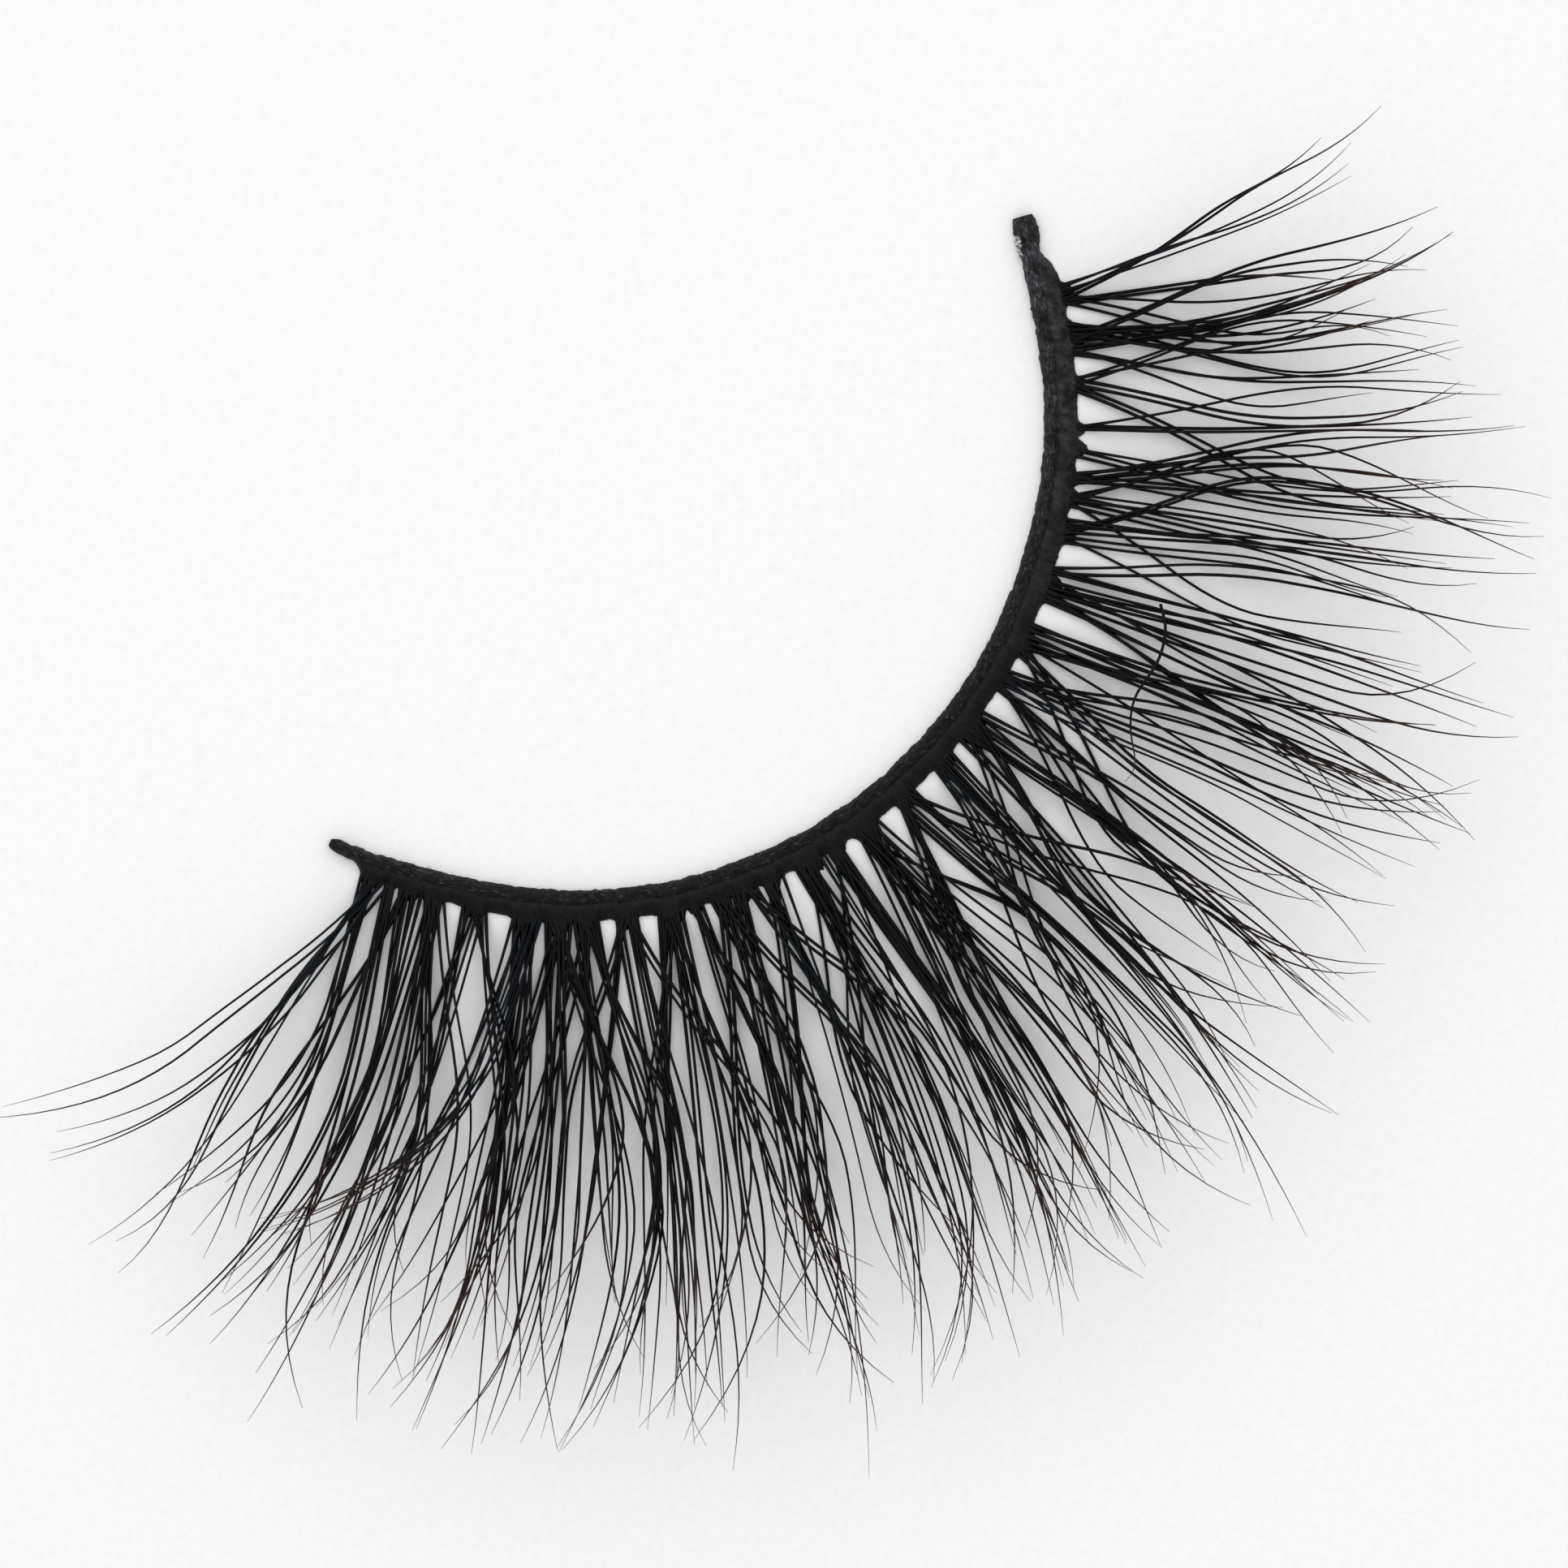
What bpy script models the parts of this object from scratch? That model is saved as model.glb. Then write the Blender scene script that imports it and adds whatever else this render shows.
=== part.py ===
"""False eyelash strip: a curved cotton thread band with a curling fringe of lash wisps.

The strip lies on a flat surface, glue side down, with the hairs curling up.
X runs along the chord of the band, from the long-haired outer-corner tab to the
short-haired inner-corner tab. The lashes point towards -Y and +Z is up.
Every length in the tables is in millimetres and every angle is in degrees.
"""
import math
import random

import bpy
from mathutils import Vector

MILLIMETRE = 0.001

# The band: its bend along its length, and how it is laid out across.
BAND_LENGTH = 32.9
BAND_BEND = (
    # station along the band, direction of the band from +X
    (0.0, -78.5),
    (1.5, -62.0),
    (4.5, -53.0),
    (8.2, -36.4),
    (12.0, -19.2),
    (16.0, -2.1),
    (21.7, 23.4),
    (26.0, 41.7),
    (30.4, 61.8),
    (32.0, 73.8),
    (32.9, 54.6),
)
FAN_BEND = (
    # station along the band, direction that the hairs there are square to
    (0.0, -66.1),
    (8.0, -37.1),
    (16.0, -2.1),
    (24.0, 32.9),
    (32.9, 63.9),
)
SIDE_TABLE = (
    # station, middle of the thread, half width of the thread, outer edge of the root strip
    (0.0, 0.02, 0.17, 0.22),
    (0.9, -0.08, 0.20, 0.24),
    (2.4, -0.17, 0.20, 0.30),
    (5.0, -0.20, 0.20, 0.32),
    (14.0, -0.21, 0.20, 0.34),
    (22.0, -0.25, 0.23, 0.36),
    (30.0, -0.24, 0.23, 0.38),
    (31.2, -0.14, 0.24, 0.38),
    (32.9, -0.04, 0.27, 0.34),
)

# The twisted thread. Its flat underside and its lower edges are shares of its half width
# and of its height, and the ridge is the share that each ply stands out by.
THREAD_HEIGHT = 0.42
THREAD_FLAT_SHARE = 0.72
THREAD_EDGE_SHARE = 0.24
THREAD_RIDGE = 0.10
THREAD_TWIST_PITCH = 1.3
THREAD_RINGS = 106
THREAD_SIDES = 8

# The glued strip of hair roots, with a web of glue that runs out between the hairs of a lock.
STRIP_START = 0.75
STRIP_END = 31.55
STRIP_GAP = 0.03
STRIP_FLOOR_GAP = 0.02
STRIP_INNER_HEIGHT = 0.30
STRIP_OUTER_HEIGHT = 0.22
STRIP_LEAST_WIDTH = 0.12
STRIP_UNDER_BEVEL = 0.05
STRIP_TOP_BEVEL = 0.07
STRIP_RINGS = 122
WEB_REACH = 0.24
WEB_MARGIN = 0.14
WEB_POWER = 3.2

# The lashes. A lock is a group of hairs with one root. Its hairs part into up to three
# strands: one that crosses towards the outer corner, one straight, one towards the inner.
LOCK_COLUMNS = (
    "root",
    "root_half",
    "reach",
    "outer_shift",
    "outer_hairs",
    "middle_shift",
    "middle_hairs",
    "inner_shift",
    "inner_hairs",
)
LOCKS = (
    (1.35, 0.30, 12.8, 0.0, 0, 0.10, 12, 0.0, 0),
    (1.95, 0.14, 14.4, 0.0, 0, 0.15, 8, 0.0, 0),
    (2.45, 0.25, 13.0, -0.75, 8, 0.0, 0, 0.35, 6),
    (3.05, 0.22, 13.8, 0.0, 0, 0.12, 11, 0.75, 6),
    (4.20, 0.24, 12.5, -0.90, 5, 0.0, 0, 1.50, 5),
    (5.60, 0.35, 14.6, -0.80, 6, -0.35, 9, 0.25, 8),
    (6.40, 0.32, 14.6, -1.30, 5, -0.30, 8, 0.25, 8),
    (7.10, 0.28, 14.4, 0.0, 0, 0.00, 11, 1.30, 6),
    (8.20, 0.22, 14.6, -0.75, 8, 0.0, 0, 0.95, 8),
    (9.40, 0.32, 14.4, -0.90, 8, -0.10, 11, 0.45, 6),
    (10.00, 0.18, 14.2, 0.0, 0, 0.25, 7, 1.00, 7),
    (10.70, 0.22, 14.4, -0.80, 7, 0.0, 0, 0.90, 8),
    (11.35, 0.24, 13.6, -0.40, 9, 0.0, 0, 1.60, 5),
    (12.10, 0.24, 15.0, -0.80, 5, 0.15, 8, 0.0, 0),
    (13.20, 0.34, 14.6, -0.35, 9, 0.10, 9, 0.50, 6),
    (14.00, 0.22, 14.6, -0.40, 6, 0.20, 10, 0.0, 0),
    (14.90, 0.34, 14.4, -0.50, 6, -0.10, 11, 0.50, 7),
    (16.20, 0.22, 14.0, -1.10, 8, 0.0, 0, 1.20, 6),
    (17.60, 0.30, 14.6, -1.20, 8, -0.30, 10, 0.35, 7),
    (18.70, 0.36, 13.6, -1.10, 7, -0.20, 10, 0.35, 11),
    (19.10, 0.08, 13.2, 0.0, 0, 0.0, 0, 0.50, 5),
    (20.20, 0.18, 13.0, -1.20, 6, 0.0, 0, 1.30, 7),
    (21.30, 0.32, 13.0, -1.40, 7, -0.15, 6, 0.35, 9),
    (21.75, 0.10, 13.2, 0.0, 0, 0.25, 7, 0.0, 0),
    (22.85, 0.36, 13.6, -1.05, 7, -0.25, 5, 0.35, 9),
    (23.30, 0.08, 13.0, 0.0, 0, 0.15, 7, 0.0, 0),
    (24.35, 0.28, 13.0, -0.80, 6, 0.0, 0, 0.85, 11),
    (25.30, 0.22, 12.6, -1.15, 5, 0.00, 9, 0.0, 0),
    (25.80, 0.18, 12.4, 0.0, 0, 0.25, 11, 1.40, 6),
    (26.60, 0.22, 12.6, -0.45, 8, 0.0, 0, 0.0, 0),
    (27.10, 0.18, 11.8, 0.0, 0, 0.30, 9, 1.20, 4),
    (28.30, 0.18, 11.0, -1.85, 5, -0.90, 5, 1.20, 6),
    (29.40, 0.34, 11.0, -1.00, 5, -0.10, 12, 0.80, 7),
    (29.90, 0.10, 10.8, -0.80, 7, 0.0, 0, 0.0, 0),
    (30.65, 0.30, 10.0, -1.00, 7, 0.10, 6, 0.0, 0),
)
STRAY_COLUMNS = ("root", "waist", "tip", "reach", "hairs")
STRAYS = (
    (1.10, -0.35, -2.95, 11.1, 2),
    (1.15, 0.00, -1.90, 10.9, 2),
    (1.20, 0.15, -1.65, 11.7, 1),
    (1.30, 0.65, -0.80, 12.5, 1),
    (3.20, 3.20, 2.65, 15.9, 1),
    (5.90, 4.90, 1.90, 10.4, 6),
    (8.40, 9.20, 9.30, 15.4, 1),
    (11.00, 11.15, 10.95, 16.1, 1),
    (13.60, 13.75, 11.80, 14.5, 2),
    (17.40, 17.20, 16.40, 16.1, 2),
    (26.70, 26.20, 27.35, 13.2, 1),
    (30.95, 31.70, 32.20, 9.0, 3),
)
TIP_SWEEP = (
    # station, how far the tips there sweep along the band
    (0.0, -1.0),
    (5.0, -0.7),
    (10.0, -0.4),
    (16.0, -0.5),
    (20.0, 0.0),
    (26.0, 0.2),
    (32.0, 0.5),
)

# How a wisp runs on its way out. WAIST_END, SWEEP_FROM, LEVEL_END and CURL_FROM are shares
# of its reach, and the curl is how far its tip rises as a share of its reach.
WAIST_END = 0.5
SWEEP_FROM = 0.35
SWEEP_POWER = 1.8
ROOT_DEPTH = 0.10
ROOT_HEIGHT = 0.17
LEVEL_END = 0.10
CURL_FROM = 0.24
CURL_POWER = 2.0
CURL_RATIO = 0.42
CURL_SCATTER = 0.05
TIP_SCATTER = 0.25

# Strands that lean different ways pass over one another at these levels above the surface.
OUTER_LEVEL = 0.0
MIDDLE_LEVEL = 0.24
INNER_LEVEL = 0.48
STRAY_LEVEL = 0.75

# How thick a wisp is. Its half width is this much times the square root of its hair count.
WISP_HALF_PER_ROOT_HAIR = 0.058
WISP_HALF_LEAST = 0.065
WISP_FLATNESS = 0.62
WISP_TAPER = (
    # share of the way out, share of the full thickness
    (0.0, 0.85),
    (0.10, 1.0),
    (0.26, 0.95),
    (0.45, 0.88),
    (0.65, 0.72),
    (0.84, 0.45),
    (1.0, 0.0),
)
STRAY_TAPER = (
    # share of the way out, share of the full thickness
    (0.0, 0.85),
    (0.10, 1.0),
    (0.24, 0.95),
    (0.38, 0.90),
    (0.52, 0.82),
    (0.64, 0.72),
    (0.76, 0.60),
    (0.88, 0.42),
    (1.0, 0.0),
)
WISP_SIDES = 5
AHEAD = 0.02

# A strand of this many hairs or more parts into a pair, spread this far either way.
PAIR_HAIRS = 9
PAIR_ROOT_SPREAD = 0.11
PAIR_WAIST_SPREAD = 0.14
PAIR_TIP_SPREAD = 0.36
PAIR_SHORTENING = 0.06
ROOT_SIDE_SHARE = 0.55
SEED = 23

THREAD_COLOUR = (0.012, 0.012, 0.013, 1.0)
HAIR_COLOUR = (0.006, 0.006, 0.007, 1.0)


def table_value(table, position, column=1):
    """A table's value at a position, read along straight lines between its rows."""
    if position <= table[0][0]:
        return table[0][column]
    for low, high in zip(table, table[1:]):
        if position <= high[0]:
            share = (position - low[0]) / (high[0] - low[0])
            return low[column] + share * (high[column] - low[column])
    return table[-1][column]


def walk_band(step=0.05):
    """The band's middle line, as (station, x, y) at even steps."""
    count = int(round(BAND_LENGTH / step))
    line = [(0.0, 0.0, 0.0)]
    for index in range(1, count + 1):
        station = BAND_LENGTH * index / count
        bend = math.radians(table_value(BAND_BEND, station - 0.5 * BAND_LENGTH / count))
        _, x, y = line[-1]
        stride = BAND_LENGTH / count
        line.append((station, x + stride * math.cos(bend), y + stride * math.sin(bend)))
    return line


BAND_LINE = walk_band()


def fan_direction(station):
    """The direction that the hairs at a station are square to, also past the band's ends."""
    first, last = FAN_BEND[0], FAN_BEND[-1]
    turn_rate = (last[1] - first[1]) / (last[0] - first[0])
    if station < first[0]:
        return first[1] + turn_rate * (station - first[0])
    if station > last[0]:
        return last[1] + turn_rate * (station - last[0])
    return table_value(FAN_BEND, station)


def in_plan(station, outward):
    """The point at a station along the band and a distance out from its middle line."""
    inside = min(max(station, 0.0), BAND_LENGTH)
    x = table_value(BAND_LINE, inside, 1)
    y = table_value(BAND_LINE, inside, 2)
    past = station - inside
    if past:
        end_bend = BAND_BEND[0][1] if past < 0 else BAND_BEND[-1][1]
        x += past * math.cos(math.radians(end_bend))
        y += past * math.sin(math.radians(end_bend))
    square = math.radians(fan_direction(station))
    return x + outward * math.sin(square), y - outward * math.cos(square)


def skin_rings(name, rings, tip=None):
    """A closed mesh over rings of equal count, capped, or drawn to a point at its far end."""
    sides = len(rings[0])
    points = [point for ring in rings for point in ring]
    faces = [tuple(range(sides))]
    for ring in range(len(rings) - 1):
        for side in range(sides):
            near = ring * sides + side
            near_next = ring * sides + (side + 1) % sides
            faces.append((near, near + sides, near_next + sides, near_next))
    last = (len(rings) - 1) * sides
    if tip is None:
        faces.append(tuple(reversed(range(last, last + sides))))
    else:
        points.append(tip)
        for side in range(sides):
            faces.append((last + (side + 1) % sides, last + side, len(points) - 1))
    mesh = bpy.data.meshes.new(name)
    mesh.from_pydata([tuple(point) for point in points], [], faces)
    mesh.update()
    thing = bpy.data.objects.new(name, mesh)
    bpy.context.scene.collection.objects.link(thing)
    return thing


def build_thread():
    """The cotton thread: two plies twisted together, pressed flat underneath."""
    corner = math.cos(math.pi / THREAD_SIDES)
    rings = []
    for index in range(THREAD_RINGS):
        station = BAND_LENGTH * index / (THREAD_RINGS - 1)
        middle = table_value(SIDE_TABLE, station, 1)
        half = table_value(SIDE_TABLE, station, 2)
        twist = 2.0 * math.pi * station / THREAD_TWIST_PITCH
        ring = []
        for side in range(THREAD_SIDES):
            angle = 2.0 * math.pi * (side + 0.5) / THREAD_SIDES
            swell = 1.0 + THREAD_RIDGE * math.cos(2.0 * angle - twist)
            aside = half * swell * math.cos(angle) / corner
            height = 0.5 * THREAD_HEIGHT * (1.0 + swell * math.sin(angle))
            if math.sin(angle) < -0.9:
                aside = math.copysign(half * THREAD_FLAT_SHARE, math.cos(angle))
                height = 0.0
            elif math.sin(angle) < 0.0:
                height = THREAD_HEIGHT * THREAD_EDGE_SHARE
            x, y = in_plan(station, middle + aside)
            ring.append((x, y, height))
        rings.append(ring)
    return skin_rings("cotton_thread", rings)


def web_at(station):
    """How far the glue runs out between the hairs of the nearest lock, at a station."""
    most = 0.0
    for row in LOCKS:
        lock = dict(zip(LOCK_COLUMNS, row))
        away = abs(station - lock["root"]) / (lock["root_half"] + WEB_MARGIN)
        if away < 1.0:
            most = max(most, 1.0 - away**WEB_POWER)
    return most


def build_strip():
    """The flat glued strip that the lash roots are set in."""
    rings = []
    for index in range(STRIP_RINGS):
        station = STRIP_START + (STRIP_END - STRIP_START) * index / (STRIP_RINGS - 1)
        middle = table_value(SIDE_TABLE, station, 1)
        half = table_value(SIDE_TABLE, station, 2)
        inner = middle + half * (1.0 + THREAD_RIDGE) + STRIP_GAP
        outer = table_value(SIDE_TABLE, station, 3) + WEB_REACH * web_at(station)
        outer = max(outer, inner + STRIP_LEAST_WIDTH)
        base = STRIP_FLOOR_GAP
        profile = (
            (inner, base),
            (outer - STRIP_UNDER_BEVEL, base),
            (outer, base + 0.5 * STRIP_OUTER_HEIGHT),
            (outer - STRIP_TOP_BEVEL, base + STRIP_OUTER_HEIGHT),
            (inner, base + STRIP_INNER_HEIGHT),
        )
        ring = []
        for outward, height in profile:
            x, y = in_plan(station, outward)
            ring.append((x, y, height))
        rings.append(ring)
    return skin_rings("lash_fringe", rings)


def wisp_point(root, waist, tip, reach, rise, level, share):
    """A point on a wisp's middle line, a share of the way out from its root."""
    crossing = math.sin(0.5 * math.pi * min(1.0, share / WAIST_END))
    sweep = max(0.0, (share - SWEEP_FROM) / (1.0 - SWEEP_FROM)) ** SWEEP_POWER
    station = root + (waist - root) * crossing + (tip - waist) * sweep
    outward = ROOT_DEPTH + (reach - ROOT_DEPTH) * share
    setting_off = max(0.0, 1.0 - share / LEVEL_END) ** 2
    curl = max(0.0, (share - CURL_FROM) / (1.0 - CURL_FROM)) ** CURL_POWER
    height = level + (ROOT_HEIGHT - level) * setting_off + rise * curl
    x, y = in_plan(station, outward)
    return Vector((x, y, height))


def build_wisp(name, taper, root, waist, tip, reach, rise, level, half_width, roll):
    """One tapered wisp of lash hair, from inside the root strip to its point."""
    half_height = half_width * WISP_FLATNESS
    middle = half_height + level
    rings = []
    for share, thickness in taper[:-1]:
        here = wisp_point(root, waist, tip, reach, rise, middle, share)
        ahead = wisp_point(root, waist, tip, reach, rise, middle, share + AHEAD)
        along = (ahead - here).normalized()
        across = along.cross(Vector((0.0, 0.0, 1.0))).normalized()
        upward = across.cross(along).normalized()
        ring = []
        for side in range(WISP_SIDES):
            angle = 2.0 * math.pi * side / WISP_SIDES + roll
            ring.append(
                here
                + across * (half_width * thickness * math.cos(angle))
                + upward * (half_height * thickness * math.sin(angle))
            )
        rings.append(ring)
    point = wisp_point(root, waist, tip, reach, rise, middle, 1.0)
    return skin_rings(name, rings, point)


def list_strands():
    """Every strand of the fringe: its root, waist, tip, reach, hair count and level."""
    strands = []
    parts = (
        ("outer", -ROOT_SIDE_SHARE, OUTER_LEVEL),
        ("middle", 0.0, MIDDLE_LEVEL),
        ("inner", ROOT_SIDE_SHARE, INNER_LEVEL),
    )
    for row in LOCKS:
        lock = dict(zip(LOCK_COLUMNS, row))
        for part, side, level in parts:
            hairs = lock[part + "_hairs"]
            if not hairs:
                continue
            root = lock["root"] + side * lock["root_half"]
            waist = lock["root"] + lock[part + "_shift"]
            tip = waist + table_value(TIP_SWEEP, waist)
            strands.append((root, waist, tip, lock["reach"], hairs, level))
    for row in STRAYS:
        strands.append((*row, STRAY_LEVEL))
    return strands


def build_wisps():
    """All the wisps. A full strand parts into a pair of wisps towards its tips."""
    chance = random.Random(SEED)
    wisps = []
    for root, waist, tip, reach, hairs, level in list_strands():
        ways = (-1.0, 1.0) if hairs >= PAIR_HAIRS else (0.0,)
        half_width = WISP_HALF_PER_ROOT_HAIR * math.sqrt(hairs / len(ways))
        half_width = max(WISP_HALF_LEAST, half_width)
        for way in ways:
            curl = CURL_RATIO + chance.uniform(-CURL_SCATTER, CURL_SCATTER)
            sweep = chance.uniform(-TIP_SCATTER, TIP_SCATTER)
            shortening = PAIR_SHORTENING * chance.random() * abs(way)
            wisps.append(
                build_wisp(
                    "wisp",
                    STRAY_TAPER if level == STRAY_LEVEL else WISP_TAPER,
                    root + way * PAIR_ROOT_SPREAD,
                    waist + way * PAIR_WAIST_SPREAD,
                    tip + way * PAIR_TIP_SPREAD + sweep,
                    reach * (1.0 - shortening),
                    reach * curl,
                    level,
                    half_width,
                    chance.uniform(0.0, 2.0 * math.pi / WISP_SIDES),
                )
            )
    return wisps


def fuse(body, pieces):
    """Fuse every piece into the body and take the pieces out of the scene."""
    group = bpy.data.collections.new("pieces_to_fuse")
    bpy.context.scene.collection.children.link(group)
    for piece in pieces:
        bpy.context.scene.collection.objects.unlink(piece)
        group.objects.link(piece)
    union = body.modifiers.new("fuse", "BOOLEAN")
    union.operation = "UNION"
    union.solver = "EXACT"
    union.operand_type = "COLLECTION"
    union.collection = group
    union.use_self = True
    bpy.context.view_layer.update()
    seen = body.evaluated_get(bpy.context.evaluated_depsgraph_get())
    fused = bpy.data.meshes.new_from_object(seen)
    body.modifiers.clear()
    body.data = fused
    fused.name = body.name
    for piece in list(group.objects):
        bpy.data.objects.remove(piece)
    bpy.data.collections.remove(group)


def paint(thing, name, colour, roughness):
    """Give a piece a plain material of its own."""
    material = bpy.data.materials.new(name)
    material.use_nodes = True
    surface = material.node_tree.nodes["Principled BSDF"]
    surface.inputs["Base Color"].default_value = colour
    surface.inputs["Roughness"].default_value = roughness
    surface.inputs["Metallic"].default_value = 0.0
    thing.data.materials.clear()
    thing.data.materials.append(material)


def centre_and_scale(things):
    """Move the pieces so that they stand centred on the origin, and bring them to metres."""
    points = [vertex.co for thing in things for vertex in thing.data.vertices]
    lows = [min(point[axis] for point in points) for axis in range(3)]
    highs = [max(point[axis] for point in points) for axis in range(3)]
    shift = Vector((0.5 * (lows[0] + highs[0]), 0.5 * (lows[1] + highs[1]), lows[2]))
    for thing in things:
        for vertex in thing.data.vertices:
            vertex.co = (vertex.co - shift) * MILLIMETRE
        thing.data.update()


for leftover in list(bpy.data.objects):
    bpy.data.objects.remove(leftover)

thread = build_thread()
fringe = build_strip()
fuse(fringe, build_wisps())
centre_and_scale((thread, fringe))
paint(thread, "black_cotton", THREAD_COLOUR, 0.62)
paint(fringe, "black_lash_hair", HAIR_COLOUR, 0.38)
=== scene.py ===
import math
import bpy
from mathutils import Matrix, Vector


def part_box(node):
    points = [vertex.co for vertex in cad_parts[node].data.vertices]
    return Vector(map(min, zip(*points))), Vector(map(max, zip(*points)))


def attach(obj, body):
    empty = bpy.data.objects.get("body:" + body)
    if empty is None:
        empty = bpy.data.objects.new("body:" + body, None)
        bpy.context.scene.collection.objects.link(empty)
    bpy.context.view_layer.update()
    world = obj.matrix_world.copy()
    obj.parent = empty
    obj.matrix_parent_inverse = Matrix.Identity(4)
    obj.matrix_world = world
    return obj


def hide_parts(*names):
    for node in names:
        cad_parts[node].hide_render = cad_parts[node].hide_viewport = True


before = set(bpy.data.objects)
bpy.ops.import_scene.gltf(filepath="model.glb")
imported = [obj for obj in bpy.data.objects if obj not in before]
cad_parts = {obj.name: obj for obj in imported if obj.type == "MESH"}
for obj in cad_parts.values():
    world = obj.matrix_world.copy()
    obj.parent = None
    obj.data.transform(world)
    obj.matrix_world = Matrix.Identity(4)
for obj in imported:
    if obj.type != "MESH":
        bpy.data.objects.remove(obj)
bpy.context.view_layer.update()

# The cotton thread is the spine of the band. It is two plies of black cotton twisted
# together, stiffened with clear glue and pressed flat underneath, and its bare ends are
# the two tabs that the strip is held by. It is one long skin laid along the band's curve.
MM = 0.001
BAND_LENGTH = 32.9
BAND_BEND = (
    # station along the band in mm, direction of the band from +X in degrees
    (0.0, -78.5),
    (1.5, -62.0),
    (4.5, -53.0),
    (8.2, -36.4),
    (12.0, -19.2),
    (16.0, -2.1),
    (21.7, 23.4),
    (26.0, 41.7),
    (30.4, 61.8),
    (32.0, 73.8),
    (32.9, 54.6),
)
FAN_BEND = (
    # station in mm, direction that the hairs there are square to in degrees
    (0.0, -66.1),
    (8.0, -37.1),
    (16.0, -2.1),
    (24.0, 32.9),
    (32.9, 63.9),
)
SIDE_TABLE = (
    # station, middle of the thread, half width of the thread, outer edge of the root strip
    (0.0, 0.03, 0.10, 0.22),
    (0.22, 0.00, 0.18, 0.23),
    (0.9, -0.08, 0.20, 0.26),
    (2.4, -0.17, 0.21, 0.34),
    (5.0, -0.20, 0.22, 0.40),
    (14.0, -0.21, 0.21, 0.40),
    (22.0, -0.25, 0.23, 0.42),
    (30.0, -0.24, 0.23, 0.43),
    (31.2, -0.14, 0.25, 0.50),
    (31.7, -0.02, 0.27, 0.42),
    (31.95, 0.03, 0.31, 0.37),
    (32.3, 0.11, 0.34, 0.36),
    (32.9, 0.13, 0.29, 0.34),
)
LOCK_COLUMNS = (
    "root",
    "root_half",
    "reach",
    "outer_shift",
    "outer_hairs",
    "middle_shift",
    "middle_hairs",
    "inner_shift",
    "inner_hairs",
)
LOCKS = (
    (1.35, 0.30, 12.8, 0.0, 0, 0.10, 12, 0.0, 0),
    (1.95, 0.14, 14.4, 0.0, 0, 0.15, 8, 0.0, 0),
    (2.45, 0.25, 13.0, -0.75, 8, 0.0, 0, 0.35, 6),
    (3.05, 0.22, 13.8, 0.0, 0, 0.12, 11, 0.75, 6),
    (4.20, 0.24, 12.5, -0.90, 5, 0.0, 0, 1.50, 5),
    (5.60, 0.35, 14.6, -0.80, 6, -0.35, 9, 0.25, 8),
    (6.40, 0.32, 14.6, -1.30, 5, -0.30, 8, 0.25, 8),
    (7.10, 0.28, 14.4, 0.0, 0, 0.00, 11, 1.30, 6),
    (8.20, 0.22, 14.6, -0.75, 8, 0.0, 0, 0.95, 8),
    (9.40, 0.32, 14.4, -0.90, 8, -0.10, 11, 0.45, 6),
    (10.00, 0.18, 14.2, 0.0, 0, 0.25, 7, 1.00, 7),
    (10.70, 0.22, 14.4, -0.80, 7, 0.0, 0, 0.90, 8),
    (11.35, 0.24, 13.6, -0.40, 9, 0.0, 0, 1.60, 5),
    (12.10, 0.24, 15.0, -0.80, 5, 0.15, 8, 0.0, 0),
    (13.20, 0.34, 14.6, -0.35, 9, 0.10, 9, 0.50, 6),
    (14.00, 0.22, 14.6, -0.40, 6, 0.20, 10, 0.0, 0),
    (14.90, 0.34, 14.4, -0.50, 6, -0.10, 11, 0.50, 7),
    (16.20, 0.22, 14.0, -1.10, 8, 0.0, 0, 1.20, 6),
    (17.60, 0.30, 14.6, -1.20, 8, -0.30, 10, 0.35, 7),
    (18.70, 0.36, 13.6, -1.10, 7, -0.20, 10, 0.35, 11),
    (19.10, 0.08, 13.2, 0.0, 0, 0.0, 0, 0.50, 5),
    (20.20, 0.18, 13.0, -1.20, 6, 0.0, 0, 1.30, 7),
    (21.30, 0.32, 13.0, -1.40, 7, -0.15, 6, 0.35, 9),
    (21.75, 0.10, 13.2, 0.0, 0, 0.25, 7, 0.0, 0),
    (22.85, 0.36, 13.6, -1.05, 7, -0.25, 5, 0.35, 9),
    (23.30, 0.08, 13.0, 0.0, 0, 0.15, 7, 0.0, 0),
    (24.35, 0.28, 13.0, -0.80, 6, 0.0, 0, 0.85, 11),
    (25.30, 0.22, 12.6, -1.15, 5, 0.00, 9, 0.0, 0),
    (25.80, 0.18, 12.4, 0.0, 0, 0.25, 11, 1.40, 6),
    (26.60, 0.22, 12.6, -0.45, 8, 0.0, 0, 0.0, 0),
    (27.10, 0.18, 11.8, 0.0, 0, 0.30, 9, 1.20, 4),
    (28.30, 0.18, 11.0, -1.85, 5, -0.90, 5, 1.20, 6),
    (29.40, 0.34, 11.0, -1.00, 5, -0.10, 12, 0.80, 7),
    (29.90, 0.10, 10.8, -0.80, 7, 0.0, 0, 0.0, 0),
    (30.65, 0.30, 10.0, -1.00, 7, 0.10, 6, 0.0, 0),
)
WEB_FILLET = 0.26
WEB_FULL_HALF = 0.40
WEB_BASE = 0.4
LINE_STEP = 0.05
THREAD_RINGS = 430
THREAD_SIDES = 20
THREAD_SIZES = {
    "Height": 0.42,
    "Ply Pitch": 1.3,
    "Ply Ridge": 0.08,
    "Lump Size": 0.55,
    "Lump Depth": 0.26,
    "Fray Size": 0.17,
    "Fray Depth": 0.30,
}
LOBE_MIDDLE = 0.6
END_ROUNDING = 0.08  # mm from a cut end
END_SHRINK = 0.12  # share of the width
SPRING_SHARE = 0.26  # of the thread's height, under its round back
UNDERSIDE_PULL = 2.2
GRAIN_SQUEEZE = 0.2
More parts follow.
